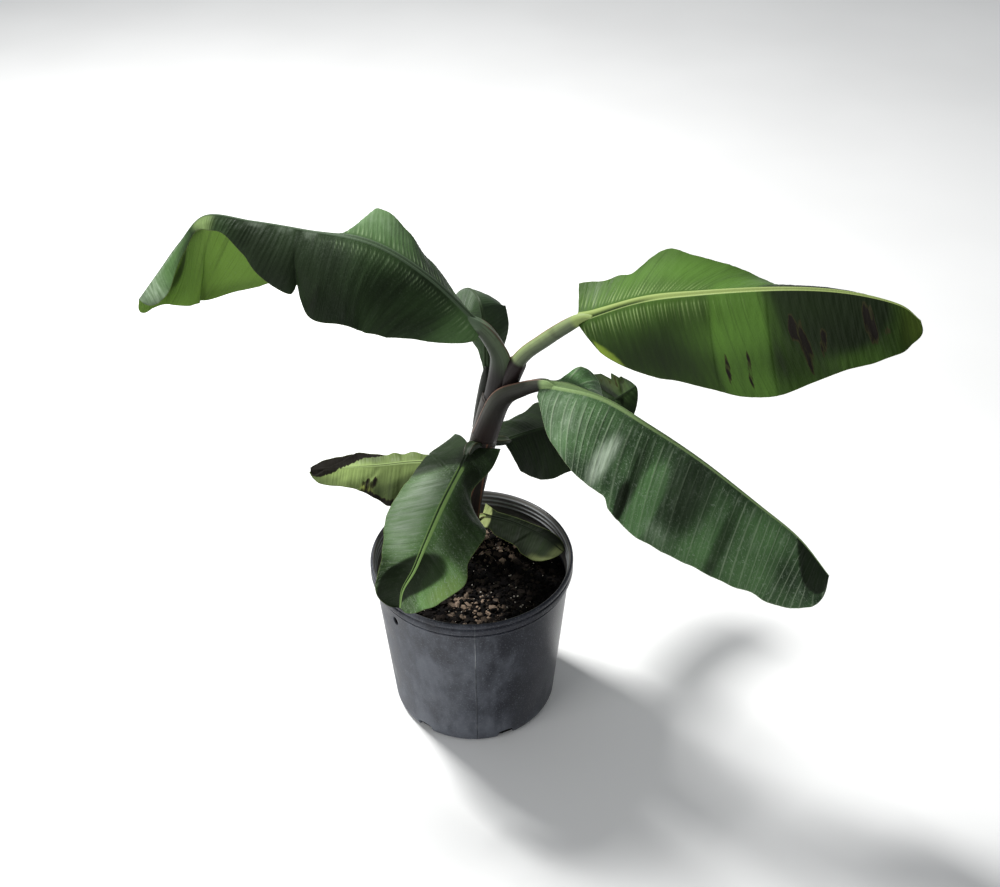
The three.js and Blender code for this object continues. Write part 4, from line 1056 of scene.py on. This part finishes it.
def blade_mesh(name, leaf):
    """One leaf blade as a closed mesh, with its veins map and its tone and part attributes."""
    rows = int(path_frames(leaf["rib"], 10)[-1] / ROW_LENGTH)
    *frames, length = path_frames(leaf["rib"], rows)
    t = np.linspace(0, 1, rows)
    rib_width = follow(leaf["rib_width"], t)[:, None]
    halves = [half_surface(leaf[key], sign, frames, t, rib_width)
              for key, sign in (("left", -1), ("right", 1))]
    place, out, distance, u = (np.concatenate([a[:, :0:-1], b], axis=1)
                               for a, b in zip(*halves))
    t = t[:, None] + 0 * u
    from_rib = abs(distance)
    x = from_rib / rib_width
    # A vein leans forward, and bows a little more the further out it is
    vein = t * length - leaf["vein_lean"] * from_rib - 0.06 * from_rib ** 2 / 100
    seed, (ripple_height, ripple_size) = leaf["seed"], leaf["ripple"]
    ridges = (0.78 * vein_ridges(vein, leaf["vein_spacing"], seed, leaf["vein_sharpness"])
              + 0.22 * vein_ridges(vein, leaf["vein_spacing"] / 2.6, seed + 1))
    off_rib = np.clip((x - 1.1) / 1.6, 0, 1)
    relief = off_rib * (leaf["vein_height"] * (ridges - 0.4) * (1 - 0.4 * abs(u) ** 3)
                        + ripple_height * abs(u) ** 1.4
                        * waves(vein, from_rib * 0.3, seed + 2, ripple_size)
                        + 0.25 * waves(vein, distance, seed + 3, 14))
    for height, *where in leaf["laps"]:
        relief = relief + off_rib * height * lapped_edge(t, u, *where)
    edge = 1 - 0.5 * abs(u)
    channel = np.exp(-((distance / rib_width - leaf.get("channel", 0)) / 0.42) ** 2)
    crest = rib_width * (0.34 * np.exp(-x ** 4) - 0.55 * channel)
    channel = channel * follow(leaf["groove"], t)
    keel = rib_width * 1.1 * np.sqrt(np.clip(1 - x ** 2, 0, 1))
    half_thick = LEAF_THICKNESS / 2 * edge
    top = place + out * (half_thick + crest + relief)[..., None]
    low = place + out * (relief - half_thick - keel)[..., None]

    tone = {"fresh_and_lit": leaf["base"] + 0.12 * waves(vein * 0.5, distance, seed + 4, 60),
            "bloom_and_sheen": 0 * u, "yellowed_and_lit": 0 * u, "dark": 0 * u, "dry": 0 * u}
    for key, amount, *where in leaf["patches"]:
        tone[key] = tone[key] + amount * patch(t, u, *where)
    # The pleats' crests are painted pale, partly pale veins and partly painted highlights, which
    # fade in the painted shade
    pale_near, pale_far, pale_reach = leaf["comb"]
    comb = pale_far + (pale_near - pale_far) * np.exp(-(from_rib / pale_reach) ** 2)
    comb = comb * follow(leaf.get("comb_along", 1), t) * (1 - 0.8 * np.clip(tone["dark"], 0, 1))
    rib = np.clip((1.2 - x) / 0.3, 0, 1) * (1 - channel)
    # Where rib_from is given, the pale rib starts below the painted shadow on the leaf's foot
    rib = rib * np.clip((t - leaf.get("rib_from", -1)) / 0.03, 0, 1)
    # The midrib's channel is painted shade
    tone["dark"] = tone["dark"] + 0.75 * channel
    margin = np.where(abs(u) > 0.999, 1.0, 0.0)
    count = place.shape[1]
    # The underside's quads are turned over but keep the upper side's diagonals
    faces = grid_faces(rows, count)
    faces += [(a, d, c, b) for a, b, c, d in grid_faces(rows, count, start=rows * count)]
    upper = np.arange(rows * count).reshape(rows, count)
    lower = upper + rows * count
    for a, b in ((upper[:, 0], lower[:, 0]), (lower[:, -1], upper[:, -1]),
                 (lower[0], upper[0]), (upper[-1], lower[-1])):
        faces += np.stack([a[:-1], a[1:], b[1:], b[:-1]], -1).tolist()
    mesh = mesh_of(name, np.vstack([top.reshape(-1, 3), low.reshape(-1, 3)]), faces)
    # The last value of part is 0 on the upper side and 1 on the underside
    for label, values in (("tone", [tone["fresh_and_lit"], tone["bloom_and_sheen"], tone["yellowed_and_lit"]]),
                          ("shade_dry_ridges", [tone["dark"], tone["dry"], ridges * comb * off_rib]),
                          ("part", [rib, margin, None])):
        sides = [np.stack([v if v is not None else 0 * u + under for v in values], -1)
                 for under in (0, 1)]
        layer = mesh.attributes.new(label, "FLOAT_VECTOR", "POINT")
        layer.data.foreach_set("vector", np.stack(sides).ravel())
    veins = np.tile(np.stack([vein, distance], -1).reshape(-1, 2) * MM, (2, 1))
    corner_of = np.empty(len(mesh.loops), int)
    mesh.loops.foreach_get("vertex_index", corner_of)
    mesh.uv_layers.new(name="veins").data.foreach_set("uv", veins[corner_of].ravel())
    return mesh


def paint_leaf(deep, fresh_and_lit, under, rib, bloom_and_sheen="#a9b8a2", yellowed_and_lit="#98a24c", edge="#66733f",
               lines="#869c70", gloss=(0.38, 0.56), frost=0.0):
    """The paint of a banana leaf from its deep green, its lighter green, which also
    stands for painted light, and its paler underside.
    """
    def paint(tree):
        # A waxy cuticle gives a soft gloss, and the close veins break it into fine streaks
        veins = add(tree, "ShaderNodeUVMap", uv_map="veins")
        tone = add(tree, "ShaderNodeAttribute", output="Vector", attribute_name="tone")
        shade_dry_ridges = add(tree, "ShaderNodeAttribute", output="Vector", attribute_name="shade_dry_ridges")
        part = add(tree, "ShaderNodeAttribute", output="Vector", attribute_name="part")
        fresh_and_lit_share, bloom_and_sheen_share, yellowed_and_lit_share = (
            add(tree, "ShaderNodeSeparateXYZ", {0: tone}, output=axis) for axis in "XYZ")
        painted_shade_share, dried, ridge = (
            add(tree, "ShaderNodeSeparateXYZ", {0: shade_dry_ridges}, output=axis) for axis in "XYZ")
        on_rib, on_edge, below = (
            add(tree, "ShaderNodeSeparateXYZ", {0: part}, output=axis) for axis in "XYZ")
        # Veins lie about 1 mm apart in life, and are drawn 1.6 mm apart so that they show
        lined = add(tree, "ShaderNodeMapping", {"Vector": veins, "Scale": (1 / (1.6 * MM),
                                                                           1 / (90 * MM), 1)})
        streaks = add(tree, "ShaderNodeTexNoise", {"Vector": lined, "Scale": 1.0, "Detail": 2})
        broad = add(tree, "ShaderNodeMapping", {"Vector": veins, "Scale": (1 / (9 * MM),
                                                                           1 / (70 * MM), 1)})
        bands = add(tree, "ShaderNodeTexNoise", {"Vector": broad, "Scale": 1.0, "Detail": 4})
        drawn_out = add(tree, "ShaderNodeMapping", {"Vector": veins, "Scale": (1 / (5 * MM),
                                                                              1 / (28 * MM), 1)})
        spots = add(tree, "ShaderNodeTexNoise", {"Vector": drawn_out, "Scale": 1.0,
                                                 "Detail": 5})
        # The lighter green is partly fresher tissue and partly painted light where light falls
        varied = add(tree, "ShaderNodeMath", {0: bands, 1: 0.35, 2: fresh_and_lit_share},
                     operation="MULTIPLY_ADD")
        colour = coated(tree, deep, fresh_and_lit, varied, 0.1, 1.15)
        # Yellowing is partly the leaf's own and partly painted light shining through the blade
        colour = coated(tree, colour, yellowed_and_lit, yellowed_and_lit_share, 0.0, 1.0)
        # Bloom is partly the leaf's grey waxy bloom and partly painted sheen and highlights
        powdered_and_sheen = add(tree, "ShaderNodeMath", {0: bloom_and_sheen_share, 1: spots}, operation="MULTIPLY")
        colour = coated(tree, colour, bloom_and_sheen, powdered_and_sheen, 0.0, 0.58, 0.86)
        colour = coated(tree, colour, bloom_and_sheen, spots, 0.5, 0.78, 0.22 * frost)
        colour = coated(tree, colour, under, below, 0.0, 1.0, 0.75)
        colour = coated(tree, colour, deep, streaks, 0.5, 0.75, 0.3)
        # Small pale spots are dust and dried drops of water
        drops = add(tree, "ShaderNodeMapping", {"Vector": veins, "Scale": (1 / (4 * MM),
                                                                          1 / (4 * MM), 1)})
        dotted = add(tree, "ShaderNodeTexNoise", {"Vector": drops, "Scale": 1.0, "Detail": 5,
                                                  "Roughness": 0.75, "Distortion": 1.5})
        colour = coated(tree, colour, bloom_and_sheen, dotted, 0.53, 0.66, 0.45 * frost)
        # Painted shade: the dark patches, cast shadows on the blade and the midrib's channel
        colour = coated(tree, colour, "#11190b", painted_shade_share, 0.0, 1.0, 0.92)
        # Pale pleat crests: partly veins and partly painted highlights
        colour = coated(tree, colour, lines, ridge, 0.08, 0.7, 0.48)
        colour = coated(tree, colour, rib, on_rib, 0.1, 0.9, 0.9)
        worn = add(tree, "ShaderNodeMath", {0: spots, 1: 0.85, 2: dried},
                   operation="MULTIPLY_ADD")
        colour = coated(tree, colour, "#2a2915", worn, 0.82, 0.89, 0.88)
        colour = coated(tree, colour, "#171411", worn, 0.9, 0.98, 0.97)
        colour = coated(tree, colour, edge, on_edge, 0.2, 1.0, 0.7)
        shine = add(tree, "ShaderNodeMapRange", {"Value": bands, "From Min": 0.3,
                                                 "From Max": 0.7, "To Min": gloss[0],
                                                 "To Max": gloss[1]})
        dull = add(tree, "ShaderNodeMapRange", {"Value": worn, "From Min": 0.8,
                                                "From Max": 0.95, "To Max": 0.35})
        shine = add(tree, "ShaderNodeMath", {0: shine, 1: dull})
        crinkled = add(tree, "ShaderNodeMapping", {"Vector": veins, "Scale": (1 / (3 * MM),
                                                                             1 / (5 * MM), 1)})
        crinkles = add(tree, "ShaderNodeTexNoise", {"Vector": crinkled, "Scale": 1.0,
                                                    "Detail": 2})
        rough = add(tree, "ShaderNodeMath", {0: streaks, 1: crinkles})
        relief = add(tree, "ShaderNodeBump", {"Strength": 0.7, "Distance": 0.4 * MM,
                                              "Height": rough})
        return {"Base Color": colour, "Roughness": shine, "Normal": relief}
    return paint


for name, leaf in LEAVES.items():
    tissue = finish("banana leaf, waxy, " + name.replace("_", " "),
                    paint_leaf(**leaf["colours"]), IOR=1.42, Specular_IOR_Level=0.12)
    nodes = ["blade_" + name] + (["blade_upper_left_tip"] if name == "upper_left" else [])
    fitted("leaf_blade_" + name, blade_mesh(name, leaf), tissue, "blade_green", *nodes)

# Studio. A plain pale floor of matt board, a soft light high at the back left, and two weaker
# fills in front. The view shows the colours as they are, with no film curve.
FLOOR_HALF = 6
LIT_PLACE = Vector((0, 0, 0.4))

floor_mesh = bpy.data.meshes.new("studio_floor")
floor_mesh.from_pydata([(-FLOOR_HALF, -FLOOR_HALF, 0), (FLOOR_HALF, -FLOOR_HALF, 0),
                        (FLOOR_HALF, FLOOR_HALF, 0), (-FLOOR_HALF, FLOOR_HALF, 0)], [],
                       [(0, 1, 2, 3)])


def paint_floor(tree):
    # Matt white studio board, with the faintest cloudiness
    where = add(tree, "ShaderNodeTexCoord", output="Object")
    clouds = add(tree, "ShaderNodeTexNoise", {"Vector": where, "Scale": 2.0, "Detail": 2})
    return {"Base Color": coated(tree, "#f4f4f2", "#f0f0ee", clouds, 0.3, 0.7)}


floor = bpy.data.objects.new("studio_floor", floor_mesh)
floor_mesh.materials.append(finish("studio board, matt white", paint_floor, Roughness=0.9))
bpy.context.collection.objects.link(floor)

for label, place, size, power in (("key", (-1.3, 1.2, 2.6), 0.55, 130),
                                  ("left fill", (-2.0, -1.7, 1.3), 1.6, 22),
                                  ("right fill", (2.2, -0.9, 1.6), 1.8, 2)):
    light = bpy.data.lights.new(label, "AREA")
    light.size = size
    light.energy = power
    lamp = bpy.data.objects.new(label, light)
    lamp.location = place
    lamp.rotation_euler = (LIT_PLACE - Vector(place)).to_track_quat("-Z", "Y").to_euler()
    bpy.context.collection.objects.link(lamp)

world = bpy.data.worlds.new("studio")
world.use_nodes = True
world.node_tree.nodes["Background"].inputs["Color"].default_value = linear("#f2f5fa")
world.node_tree.nodes["Background"].inputs["Strength"].default_value = 0.38
bpy.context.scene.world = world
bpy.context.scene.view_settings.view_transform = "Standard"
